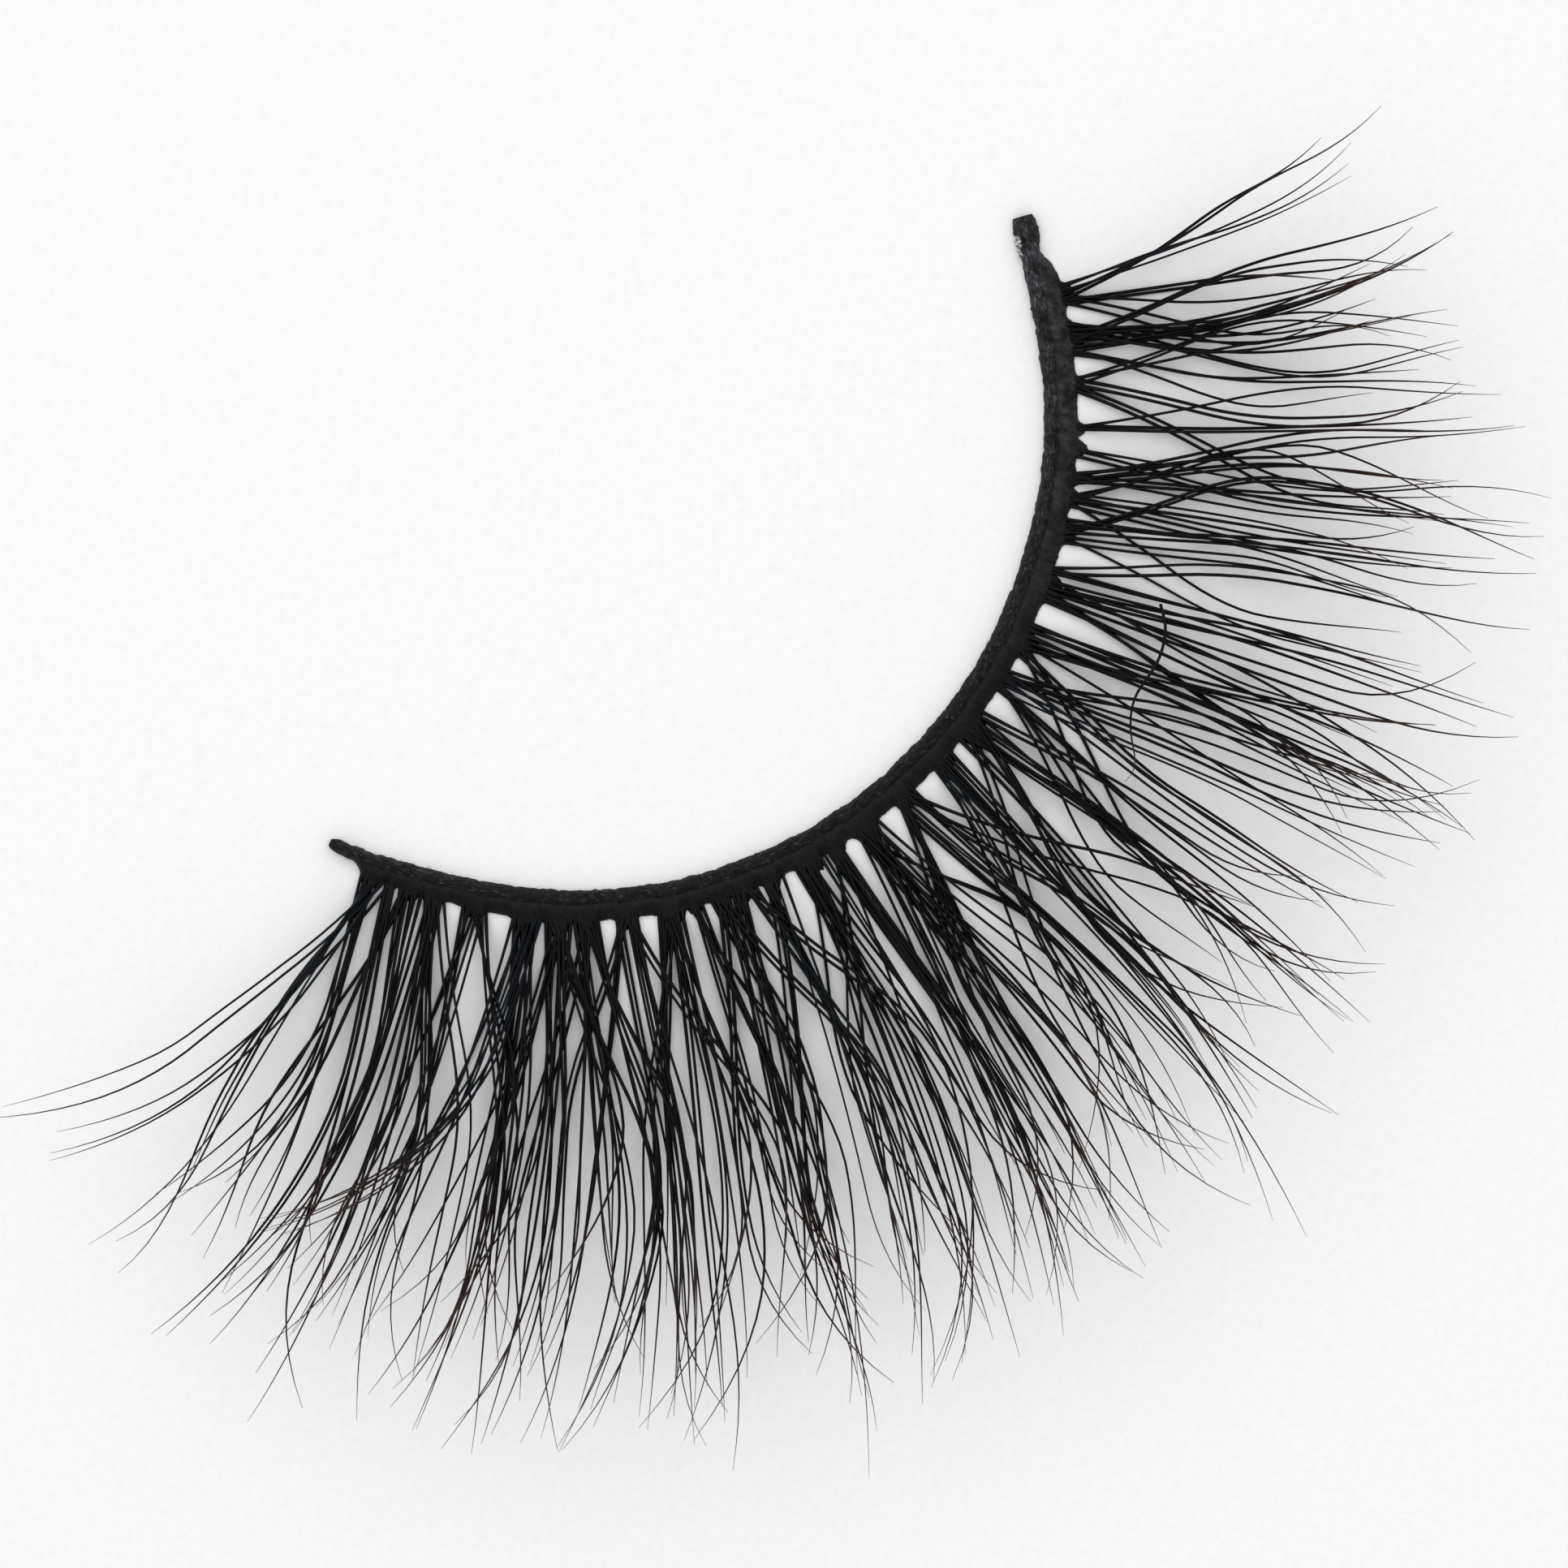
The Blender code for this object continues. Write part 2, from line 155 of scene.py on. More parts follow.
# stations, distance outward and grain levels for the paler steps: a painted sheen along the first tab's
# inner edge, and real wear towards the upper end
SHEEN_STATIONS = (4.5, 0.5)
SHEEN_EDGE = (-0.14, -0.30)
WORN_UPPER = (20.0, 31.0)
WEAR_AND_SHEEN_PATCHES = (0.36, 0.62)
FINE_RATIO = 4.0
BLOTCH_SCALE = 2.4
BAND_SHINE = 0.15
COTTON_STRETCH = (0.9, 2.2, 2.2)
COTTON_SCALE = 7.5
COTTON_RELIEF = (0.9, 0.00005)
COTTON_ROUGHNESS = 0.62
COTTON_BLACK = (0.0022, 0.0021, 0.0021, 1.0)
COTTON_GREY = (0.012, 0.012, 0.0125, 1.0)
COTTON_FLECK = (0.075, 0.076, 0.082, 1.0)
# The two pale tones below are real rubbed wear and flakes towards the upper end, and painted sheen on
# the first tab's inner edge.
COTTON_RUBBED_AND_SHEEN = (0.036, 0.036, 0.040, 1.0)
COTTON_FLAKE_AND_SHEEN = (0.15, 0.16, 0.18, 1.0)


def table_value(table, position, column=1):
    """A table's value at a position, read along straight lines between its rows."""
    if position <= table[0][0]:
        return table[0][column]
    for low, high in zip(table, table[1:]):
        if position <= high[0]:
            share = (position - low[0]) / (high[0] - low[0])
            return low[column] + share * (high[column] - low[column])
    return table[-1][column]


def walk_band():
    """The band's middle line in mm, as (station, x, y) at even steps."""
    count = round(BAND_LENGTH / LINE_STEP)
    stride = BAND_LENGTH / count
    line = [(0.0, 0.0, 0.0)]
    for index in range(count):
        bend = math.radians(table_value(BAND_BEND, (index + 0.5) * stride))
        _, x, y = line[-1]
        line.append(((index + 1) * stride, x + stride * math.cos(bend), y + stride * math.sin(bend)))
    return line


def web_at(station):
    """How far the glue creeps out along the hairs of the nearest lock, from 0 to 1."""
    most = 0.0
    for row in LOCKS:
        lock = dict(zip(LOCK_COLUMNS, row))
        away = abs(station - lock["root"])
        reach = min(1.0, lock["root_half"] / WEB_FULL_HALF)
        inside = away / lock["root_half"]
        if inside < 1.0:
            most = max(most, reach * (WEB_BASE + (1.0 - WEB_BASE) * math.sqrt(1.0 - inside**2)))
        fillet = (away - lock["root_half"]) / WEB_FILLET
        if 0.0 <= fillet < 1.0:
            most = max(most, WEB_BASE * reach * (1.0 - math.sqrt(1.0 - (1.0 - fillet) ** 2)))
    return most


def edge_point(station, x, y, outward):
    """The point a distance outward from the band's middle line."""
    square = math.radians(table_value(FAN_BEND, station))
    return x + outward * math.sin(square), y - outward * math.cos(square)


def lay_band_line():
    """The band's middle line as a wire on the CAD thread, carrying the widths to build by."""
    line = walk_band()
    corners = []
    for station, x, y in line:
        middle = table_value(SIDE_TABLE, station, 1)
        half = table_value(SIDE_TABLE, station, 2)
        corners.append(edge_point(station, x, y, middle - half))
        corners.append(edge_point(station, x, y, middle + half))
    low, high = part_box("cotton_thread")
    shift = []
    for axis in range(2):
        along = [corner[axis] for corner in corners]
        shift.append(0.5 * (low[axis] + high[axis]) - 0.5 * (min(along) + max(along)) * MM)
    wire = bpy.data.meshes.new("band_line")
    points = [(x * MM + shift[0], y * MM + shift[1], 0.0) for _, x, y in line]
    wire.from_pydata(points, [(n, n + 1) for n in range(len(points) - 1)], [])
    columns = {
        "square": lambda s: math.radians(table_value(FAN_BEND, s)),
        "thread_middle": lambda s: table_value(SIDE_TABLE, s, 1),
        "thread_half": lambda s: table_value(SIDE_TABLE, s, 2),
        "strip_outer": lambda s: table_value(SIDE_TABLE, s, 3),
        "web": web_at,
    }
    for name, rule in columns.items():
        column = wire.attributes.new(name, "FLOAT", "POINT")
        for index, (station, _, _) in enumerate(line):
            column.data[index].value = rule(station)
    holder = bpy.data.objects.new("band_line", wire)
    bpy.context.scene.collection.objects.link(holder)
    return holder


def new_tree(name, takes, gives, kind="GeometryNodeTree"):
    """An empty node tree with its inputs, its outputs and their end nodes."""
    tree = bpy.data.node_groups.new(name, kind)
    for way, sockets in (("INPUT", takes), ("OUTPUT", gives)):
        for label, sort in sockets:
            tree.interface.new_socket(label, in_out=way, socket_type="NodeSocket" + sort)
    return tree, tree.nodes.new("NodeGroupInput").outputs, tree.nodes.new("NodeGroupOutput").inputs


def piece_tree(name, sizes, holder):
    """A tree that makes a piece from one geometry by named sizes, and the band's curve in it."""
    takes = [(label, "Int" if label in ("Count", "Seed") else "Float") for label in sizes]
    tree, given, result = new_tree(name, (("Geometry", "Geometry"), *takes), (("Geometry", "Geometry"),))
    wire = add_node(tree, "GeometryNodeObjectInfo", {"Object": holder}, transform_space="ORIGINAL")
    band = output(tree, "GeometryNodeMeshToCurve", {"Mesh": put_out(wire, "Geometry")})
    return tree, given, result, band


def feed(tree, node, feeds):
    """Feeds a node's sockets, told by name or by place, with other sockets or with values."""
    for key, value in feeds.items():
        live = [s for s in node.inputs if s.enabled]
        socket = live[key] if isinstance(key, int) else next(s for s in live if s.name == key)
        if isinstance(value, bpy.types.NodeSocket):
            tree.links.new(value, socket)
        else:
            socket.default_value = value


def add_node(tree, kind, feeds=None, **settings):
    """One node, with its settings made and its sockets fed."""
    node = tree.nodes.new(kind)
    for name, value in settings.items():
        setattr(node, name, value)
    feed(tree, node, feeds or {})
    return node


def output(tree, kind, feeds=None, **settings):
    """The first output of a new node."""
    return add_node(tree, kind, feeds, **settings).outputs[0]


def put_out(node, name):
    return next(s for s in node.outputs if s.enabled and s.name == name)


def reckon(tree, operation, *values):
    """A Math node's result."""
    return output(tree, "ShaderNodeMath", dict(enumerate(values)), operation=operation)


def times(tree, first, *others):
    """The product of two or more values."""
    for value in others:
        first = reckon(tree, "MULTIPLY", first, value)
    return first


def plus(tree, first, second):
    return reckon(tree, "ADD", first, second)


def minus(tree, first, second):
    return reckon(tree, "SUBTRACT", first, second)


def times_plus(tree, first, second, extra):
    """The product of two values with an extra value added."""
    return reckon(tree, "MULTIPLY_ADD", first, second, extra)


def between(tree, start, end, share):
    """The value that lies a share of the way from a start to an end."""
    return times_plus(tree, minus(tree, end, start), share, start)


def clamp(tree, value, low=0.0, high=1.0):
    return output(tree, "ShaderNodeClamp", {0: value, 1: low, 2: high})


def ramp(tree, value, start, end, first=0.0, last=1.0, kind="LINEAR"):
    """A value's range from start to end turned into the range from first to last."""
    feeds = {0: value, 1: start, 2: end, 3: first, 4: last}
    return output(tree, "ShaderNodeMapRange", feeds, interpolation_type=kind)


def vector(tree, x, y, z):
    return output(tree, "ShaderNodeCombineXYZ", {0: x, 1: y, 2: z})


def vector_math(tree, operation, first, second):
    """A Vector Math node's result. The second value of SCALE is a plain number."""
    key = "Scale" if operation == "SCALE" else 1
    return output(tree, "ShaderNodeVectorMath", {0: first, key: second}, operation=operation)


def attribute(tree, name):
    """A number that the points carry under a name."""
    node = add_node(tree, "GeometryNodeInputNamedAttribute", {"Name": name}, data_type="FLOAT")
    return put_out(node, "Attribute")


def sample_band(tree, band, name, station):
    """The node that reads the band's wire, and a number it carries, at a station in mm."""
    return add_node(
        tree,
        "GeometryNodeSampleCurve",
        {"Curves": band, "Value": attribute(tree, name), "Length": times(tree, station, MM)},
        mode="LENGTH",
        data_type="FLOAT",
        use_all_curves=True,
    )


def band_value(tree, band, name, station):
    """A width that the band's wire carries, at a station in mm."""
    return put_out(sample_band(tree, band, name, station), "Value")


def make_placing():
    """The group that turns a station, a distance outward and a height into a point."""
    tree, given, result = new_tree(
        "Place on band",
        (("Band", "Geometry"), ("Station", "Float"), ("Outward", "Float"), ("Height", "Float")),
        (("Position", "Vector"),),
    )
    inside = clamp(tree, given["Station"], 0.0, BAND_LENGTH)
    past = minus(tree, given["Station"], inside)
    sample = sample_band(tree, given["Band"], "square", inside)
    first, last = FAN_BEND[0], FAN_BEND[-1]
    rate = math.radians((last[1] - first[1]) / (last[0] - first[0]))
    turned = times_plus(tree, past, rate, put_out(sample, "Value"))
    sideways = vector(
        tree,
        times(tree, given["Outward"], reckon(tree, "SINE", turned)),
        times(tree, given["Outward"], reckon(tree, "COSINE", turned), -1.0),
        given["Height"],
    )
    onward = vector_math(tree, "SCALE", put_out(sample, "Tangent"), past)
    moved = vector_math(tree, "SCALE", vector_math(tree, "ADD", sideways, onward), MM)
    place = vector_math(tree, "ADD", put_out(sample, "Position"), moved)
    tree.links.new(place, result["Position"])
    return tree


PLACING = make_placing()


def put_on_band(tree, geometry, band, station, outward, height):
    """A geometry with its points moved to a station, a distance outward and a height in mm."""
    feeds = {"Band": band, "Station": station, "Outward": outward, "Height": height}
    place = output(tree, "GeometryNodeGroup", feeds, node_tree=PLACING)
    return output(tree, "GeometryNodeSetPosition", {"Geometry": geometry, "Position": place})


def store(tree, geometry, name, value, kind="FLOAT"):
    """Keeps a value on every point under a name and returns the geometry."""
    feeds = {"Geometry": geometry, "Name": name, "Value": value}
    return output(tree, "GeometryNodeStoreNamedAttribute", feeds, data_type=kind, domain="POINT")


def noise(tree, place, scale, detail=2.0, **feeds):
    """Smooth noise from about 0 to 1."""
    feeds = {"Vector": place, "Scale": scale, "Detail": detail, **feeds}
    return output(tree, "ShaderNodeTexNoise", feeds)


def noise_about_zero(tree, place, scale, detail=2.0):
    return minus(tree, noise(tree, place, scale, detail), 0.5)


def straight_tube(tree, sides, rings):
    """A closed tube of radius 1, with each point's place across, upward and along it."""
    tube = output(
        tree,
        "GeometryNodeMeshCylinder",
        {"Vertices": sides, "Side Segments": rings, "Radius": 1.0, "Depth": 1.0},
        fill_type="NGON",
    )
    place = output(tree, "GeometryNodeInputPosition")
    across, upward, onward = add_node(tree, "ShaderNodeSeparateXYZ", {0: place}).outputs
    return tube, across, upward, plus(tree, onward, 0.5)


def finish_tree(tree, result, mesh, material):
    """Ends a tree with smooth shading and the piece's material."""
    whole = output(tree, "GeometryNodeRealizeInstances", {"Geometry": mesh})
    smooth = output(tree, "GeometryNodeSetShadeSmooth", {"Geometry": whole})
    painted = output(tree, "GeometryNodeSetMaterial", {"Geometry": smooth, "Material": material})
    tree.links.new(painted, result["Geometry"])


def lay_tube(tree, result, tube, band, place, material):
    """Lays a straight tube on the band, its faces outward and its places kept for its look."""
    tube = store(tree, tube, "laid", vector(tree, *place), "FLOAT_VECTOR")
    laid = put_on_band(tree, tube, band, *place)
    finish_tree(tree, result, output(tree, "GeometryNodeFlipFaces", {"Mesh": laid}), material)


def grow(name, tree, sizes, seedling, material):
    """Runs a tree on a small mesh and gives the finished piece as one plain mesh."""
    holder = bpy.data.objects.new(name + "_seed", seedling)
    bpy.context.scene.collection.objects.link(holder)
    modifier = holder.modifiers.new("nodes", "NODES")
    modifier.node_group = tree
    sockets = {
        item.name: item.identifier
        for item in tree.interface.items_tree
        if item.item_type == "SOCKET" and item.in_out == "INPUT"
    }
    for label, value in sizes.items():
        modifier[sockets[label]] = value
    graph = bpy.context.evaluated_depsgraph_get()
    mesh = bpy.data.meshes.new_from_object(holder.evaluated_get(graph))
    mesh.name = name
    bpy.data.objects.remove(holder)
    piece = bpy.data.objects.new(name, mesh)
    bpy.context.scene.collection.objects.link(piece)
    mesh.materials.clear()
    mesh.materials.append(material)
    return piece


def single_point():
    """The mesh of one point that a tree can start from."""
    seedling = bpy.data.meshes.new("seedling")
    seedling.from_pydata([(0.0, 0.0, 0.0)], [], [])
    return seedling


def dress(name):
    """A new material with its tree and its Principled shader."""
    material = bpy.data.materials.new(name)
    material.use_nodes = True
    return material, material.node_tree, material.node_tree.nodes["Principled BSDF"]


def make_fibre_grain():
    """The shader group for matted fibres: a mask of strands drawn out along the band."""
    tree, given, result = new_tree(
        "Fibre grain",
        (("Laid", "Vector"), ("Stretch", "Vector"), ("Scale", "Float")),
        (("Mask", "Float"), ("Fine", "Float"), ("Wear and Sheen", "Float")),
        "ShaderNodeTree",
    )
    drawn = vector_math(tree, "MULTIPLY", given["Laid"], given["Stretch"])
    broad = noise(tree, drawn, given["Scale"], 5.0, Roughness=0.65, Distortion=0.6)
    fine = noise(tree, drawn, times(tree, given["Scale"], FINE_RATIO), 3.0)
    patchy = ramp(tree, noise(tree, given["Laid"], BLOTCH_SCALE, 3.0), *WEAR_AND_SHEEN_PATCHES)
    station, outward, _ = add_node(tree, "ShaderNodeSeparateXYZ", {0: given["Laid"]}).outputs
    # Painted sheen: paler steps along the inner edge of the first tab stand in for light there; the
    # upper stations are paled by real wear.
    first = times(tree, ramp(tree, station, *SHEEN_STATIONS), ramp(tree, outward, *SHEEN_EDGE))
    wear_and_sheen = reckon(tree, "MAXIMUM", ramp(tree, station, *WORN_UPPER), first)
    tree.links.new(broad, result["Mask"])
    tree.links.new(fine, result["Fine"])
    tree.links.new(times(tree, wear_and_sheen, patchy), result["Wear and Sheen"])
    return tree


FIBRE_GRAIN = make_fibre_grain()


def colour_steps(tree, mask, steps):
    """A colour ramp through the given (position, colour) steps."""
    node = add_node(tree, "ShaderNodeValToRGB", {"Fac": mask})
    first, last = node.color_ramp.elements
    first.position, first.color = steps[0]
    last.position, last.color = steps[-1]
    for position, colour in steps[1:-1]:
        node.color_ramp.elements.new(position).color = colour
    return node.outputs["Color"]


def bump(tree, height, strength, distance):
    return output(tree, "ShaderNodeBump", {"Strength": strength, "Distance": distance, "Height": height})


def make_matted(name, stretch, scale, fresh_steps, wear_and_sheen_steps, roughness, relief):
    """A dull look of matted fibres, in paler steps where the band is worn and where a sheen is painted
    on the first tab's inner edge.
    """
    material, tree, shader = dress(name)
    laid = add_node(tree, "ShaderNodeAttribute", attribute_name="laid").outputs["Vector"]
    feeds = {"Laid": laid, "Stretch": stretch, "Scale": scale}
    mask, fine, wear_and_sheen = add_node(tree, "ShaderNodeGroup", feeds, node_tree=FIBRE_GRAIN).outputs
    fresh = colour_steps(tree, mask, fresh_steps)
    rubbed_and_sheen = colour_steps(tree, mask, wear_and_sheen_steps)
    mix = add_node(tree, "ShaderNodeMix", {"Factor": wear_and_sheen, "A": fresh, "B": rubbed_and_sheen}, data_type="RGBA")
    looks = {
        "Base Color": put_out(mix, "Result"),
        "Roughness": roughness,
        "Specular IOR Level": BAND_SHINE,
        "Normal": bump(tree, plus(tree, mask, fine), *relief),
    }
    feed(tree, shader, looks)
    return material


def make_thread_tree(holder, material):
    tree, given, result, band = piece_tree("Twisted thread", THREAD_SIZES, holder)
    tube, across, upward, share = straight_tube(tree, THREAD_SIDES, THREAD_RINGS)
    station = clamp(tree, times(tree, share, BAND_LENGTH), 0.0, BAND_LENGTH)
    from_end = reckon(tree, "MINIMUM", station, minus(tree, BAND_LENGTH, station))
    near_end = clamp(tree, reckon(tree, "DIVIDE", from_end, END_ROUNDING))
    fallen = reckon(tree, "POWER", minus(tree, 1.0, near_end), 2.0)
    rounded = reckon(tree, "SQRT", minus(tree, 1.0, fallen))
    blunt = times_plus(tree, rounded, END_SHRINK, 1.0 - END_SHRINK)
    angle = reckon(tree, "ARCTAN2", upward, across)
    twist = reckon(tree, "DIVIDE", times(tree, station, math.pi), given["Ply Pitch"])
    lobe = reckon(tree, "ABSOLUTE", reckon(tree, "COSINE", minus(tree, angle, twist)))
    lobe = minus(tree, lobe, LOBE_MIDDLE)
    rough = times_plus(tree, lobe, given["Ply Ridge"], 1.0)
    spot = vector(tree, station, times(tree, across, GRAIN_SQUEEZE), times(tree, upward, GRAIN_SQUEEZE))
    for kind in ("Lump", "Fray"):
        bumps = noise_about_zero(tree, spot, reckon(tree, "DIVIDE", 1.0, given[kind + " Size"]))
        rough = times_plus(tree, bumps, times(tree, given[kind + " Depth"], 2.0), rough)
    swell = times(tree, rough, blunt)
    half = band_value(tree, band, "thread_half", station)
    middle = band_value(tree, band, "thread_middle", station)
    outward = times_plus(tree, times(tree, across, half), swell, middle)
    low = times(tree, given["Height"], SPRING_SHARE)
    tall = times(tree, given["Height"], 1.0 - SPRING_SHARE)
    back = times(tree, reckon(tree, "MAXIMUM", upward, 0.0), tall)
    arch = times_plus(tree, back, swell, low)
    sunk = clamp(tree, times(tree, upward, -UNDERSIDE_PULL))
    height = minus(tree, arch, times(tree, sunk, low))
    lay_tube(tree, result, tube, band, (station, outward, height), material)
    return tree


band_line = lay_band_line()
cotton = make_matted(
    "black_cotton",
    COTTON_STRETCH,
    COTTON_SCALE,
    ((0.36, COTTON_BLACK), (0.56, COTTON_GREY), (0.70, COTTON_FLECK)),
    ((0.30, COTTON_GREY), (0.52, COTTON_RUBBED_AND_SHEEN), (0.68, COTTON_FLAKE_AND_SHEEN)),
    COTTON_ROUGHNESS,
    COTTON_RELIEF,
)
thread = grow("thread_band", make_thread_tree(band_line, cotton), THREAD_SIZES, single_point(), cotton)
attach(thread, "root")
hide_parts("cotton_thread")

# The root strip is where the hair is fixed. The roots lie side by side against the thread
# and are buried in a flat ribbon of clear glue that has dried nearly black with dye. The
# glue creeps a little way out between the hairs of each lock and leaves round gaps.
STRIP_START = 0.75
STRIP_END = 32.05
STRIP_RINGS = 900
STRIP_SIDES = 16
STRIP_SIZES = {
    "Inner Height": 0.37,
    "Outer Height": 0.20,
    "Web Height": 0.08,
    "Web Reach": 0.42,
    "Web Spike": 1.30,
    "Ripple Size": 0.18,
    "Ripple Depth": 0.05,
}
# a row of the noise, how fine it is read, and for the roots its stretch and ridge height
SPIKE_ROW = (3.7, 1.9)
SPIKE_GRAIN = 9.0
ROOT_ROW = 8.0
ROOT_GRAIN = 11.0
ROOT_STRETCH = 0.25
ROOT_RIDGE = 0.10
END_TAPER = 0.5
END_WIDTH = 0.3
# distances outward between which the strip falls from the thread and then thins out
FALL_SPAN = (0.0, 0.32)
THIN_SPAN = (0.30, 0.62)
EDGE_HEIGHT = 0.02
EDGE_BLUNTNESS = 0.6
GLUE_DARK = (0.0022, 0.0021, 0.0021, 1.0)
GLUE_BROWN = (0.009, 0.0087, 0.0088, 1.0)
# The pale glue tone below is real wear towards the upper end, and painted sheen near the first tab's
# inner edge.
GLUE_RUBBED_AND_SHEEN = (0.060, 0.054, 0.054, 1.0)
GLUE_STRETCH = (1.4, 0.5, 1.0)
GLUE_SCALE = 5.0
GLUE_RELIEF = (0.8, 0.00003)
GLUE_ROUGHNESS = 0.50


def make_strip_tree(holder, material):
    tree, given, result, band = piece_tree("Glued roots", STRIP_SIZES, holder)
    tube, across, upward, run = straight_tube(tree, STRIP_SIDES, STRIP_RINGS)
    station = times_plus(tree, run, STRIP_END - STRIP_START, STRIP_START)
    share = times_plus(tree, across, 0.5, 0.5)
    inner = band_value(tree, band, "thread_middle", station)
    spike = noise_about_zero(tree, vector(tree, station, *SPIKE_ROW), SPIKE_GRAIN, 1.0)
    spike = times(tree, reckon(tree, "MAXIMUM", 0.0, spike), given["Web Spike"])
    web = band_value(tree, band, "web", station)
    creep = times(tree, web, times_plus(tree, web, spike, given["Web Reach"]))
    outer = plus(tree, band_value(tree, band, "strip_outer", station), creep)
    from_start = minus(tree, station, STRIP_START)
    from_end = reckon(tree, "MINIMUM", from_start, minus(tree, STRIP_END, station))
    near_end = clamp(tree, reckon(tree, "DIVIDE", from_end, END_TAPER))
    full = times_plus(tree, reckon(tree, "SQRT", near_end), 1.0 - END_WIDTH, END_WIDTH)
    width = times(tree, minus(tree, outer, inner), full)
    ripple_scale = reckon(tree, "DIVIDE", 1.0, given["Ripple Size"])
    ripple = noise_about_zero(tree, vector(tree, station, share, 0.0), ripple_scale)
    outward = times_plus(tree, share, width, inner)
    deep = times(tree, given["Ripple Depth"], 2.0)
    outward = times_plus(tree, times(tree, ripple, share), deep, outward)
    fall = ramp(tree, outward, *FALL_SPAN, given["Inner Height"], given["Outer Height"])
    thinner = minus(tree, given["Outer Height"], given["Web Height"])
    crest = minus(tree, fall, ramp(tree, outward, *THIN_SPAN, 0.0, thinner))
    crest = plus(tree, crest, times(tree, ripple, given["Ripple Depth"]))
    grain = vector(tree, station, times(tree, outward, ROOT_STRETCH), ROOT_ROW)
    ridges = times(tree, noise_about_zero(tree, grain, ROOT_GRAIN, 1.0), share, ROOT_RIDGE)
    crest = plus(tree, crest, ridges)
    lift = reckon(tree, "POWER", reckon(tree, "MAXIMUM", upward, 0.0), EDGE_BLUNTNESS)
    height = between(tree, EDGE_HEIGHT, crest, lift)
    lay_tube(tree, result, tube, band, (station, outward, height), material)
    return tree


glue = make_matted(
    "root_glue",
    GLUE_STRETCH,
    GLUE_SCALE,
    ((0.38, GLUE_DARK), (0.70, GLUE_BROWN)),
    ((0.32, GLUE_BROWN), (0.66, GLUE_RUBBED_AND_SHEEN)),
    GLUE_ROUGHNESS,
    GLUE_RELIEF,
)
strip = grow("root_strip", make_strip_tree(band_line, glue), STRIP_SIZES, single_point(), glue)
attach(strip, "root")
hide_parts("lash_fringe")

# The lash hairs are tapered black fibres of about a tenth of a millimetre. They are laid
# in strands of up to ten, mostly in pairs, that cross one another just above the strip,
# splay out as a fan and are set in a curl that lifts their tips off the surface.
TIP_SWEEP = (
    # station, how far the tips there sweep along the band
    (0.0, -1.0),
    (5.0, -0.7),
    (10.0, -0.4),
    (16.0, -0.5),
    (20.0, 0.0),
    (26.0, 0.2),
    (32.0, 0.5),
)
HAIR_SHARE = (
    # station, share of a strand's full hair count that it has there
    (0.0, 0.60),
    (1.4, 0.66),
    (3.0, 0.60),
    (3.6, 0.60),
    (4.2, 0.9),
    (5.0, 0.28),
    (7.0, 0.95),
    (9.0, 0.62),
    (11.0, 0.52),
    (13.0, 0.50),
    (15.0, 0.82),
    (16.2, 0.95),
    (17.5, 0.27),
    (19.0, 0.66),
    (20.2, 0.85),
    (21.0, 0.58),
    (23.0, 0.50),
    (25.0, 0.55),
    (27.0, 0.24),
    (28.3, 0.50),
    (29.0, 0.50),
    (31.0, 0.54),
)
STRAND_PARTS = (
    # part of a lock, side of the root that it comes from, level that it passes at in mm
    ("outer", -0.35, 0.0),
    ("middle", 0.0, 0.24),
    ("inner", 0.35, 0.48),
)
HAIR_SIZES = {
    "Thickness": 0.098,
    "Pair Gap": 0.12,
    "Waist Spread": 2.20,
    "Tip Spread": 0.90,
    "Shortening": 0.30,
    "Curl": 0.40,
    "Curl Scatter": 0.05,
    "Wobble": 0.07,
    "Hook": 0.90,
    "Seed": 5,
}
HAIR_DRAWS = {
    # what is drawn, for each pair or each hair, from, to, number added to the seed
    "place in strand": ("pair", 0.2, 0.8, 1),
    "gap": ("pair", 0.35, 0.65, 2),
    "lean": ("pair", -0.45, 0.45, 3),
    "tip": ("pair", -1.0, 1.0, 4),
    "shortening": ("hair", 0.0, 1.0, 5),
    "curl": ("pair", -1.0, 1.0, 6),
    "hook": ("hair", -1.0, 1.0, 7),
    "parting": ("hair", -0.15, 0.25, 8),
    "level": ("hair", 0.07, 0.28, 9),
    "girth": ("hair", 0.80, 1.10, 10),
    "tint": ("hair", 0.0, 1.0, 11),
    "waist_share": ("pair", 0.36, 0.62, 12),
    "waist": ("hair", -0.07, 0.07, 13),
}
ROW_CODES = 64.0
ROOT_FILL = 0.9
CROSS_LEAN = 0.75
PAIR_KEPT = 0.8
SCATTER_POWER = 3.0
SHORTENING_POWER = 1.3
HAIR_STEPS = 26
HAIR_SIDES = 5
CROSSING_END = 1.3
CROSSING_EASE = 0.7
# share of the hair where each bend starts, power that it grows with
SWEEP_EASE = (0.35, 1.8)
HOOK_EASE = (0.72, 2.0)
CURL_EASE = (0.24, 2.0)
GATHER_START = 0.55
GATHER_SHARE = 0.70
WAVE_STRETCH = 1.5
WAVE_STEP = 3.17
WAVE_GRAIN = 1.6
ROOT_OUTWARD = 0.10
ROOT_HEIGHT = 0.12
ROOT_SPAN = (0.045, 0.18)
BURIED_SHARE = 0.04
BURIED_DEPTH = 0.04
COAT_SHARE = 0.13
COAT_GIRTH = 0.36
TAPER_LOSS = 0.88
TAPER_POWER = 2.6
HAIR_COLUMNS = ("root", "waist", "tip", "reach", "hairs", "level", "spread", "row")
HAIR_BLACK = (0.0017, 0.0020, 0.0025, 1.0)
HAIR_BROWN = (0.045, 0.022, 0.016, 1.0)


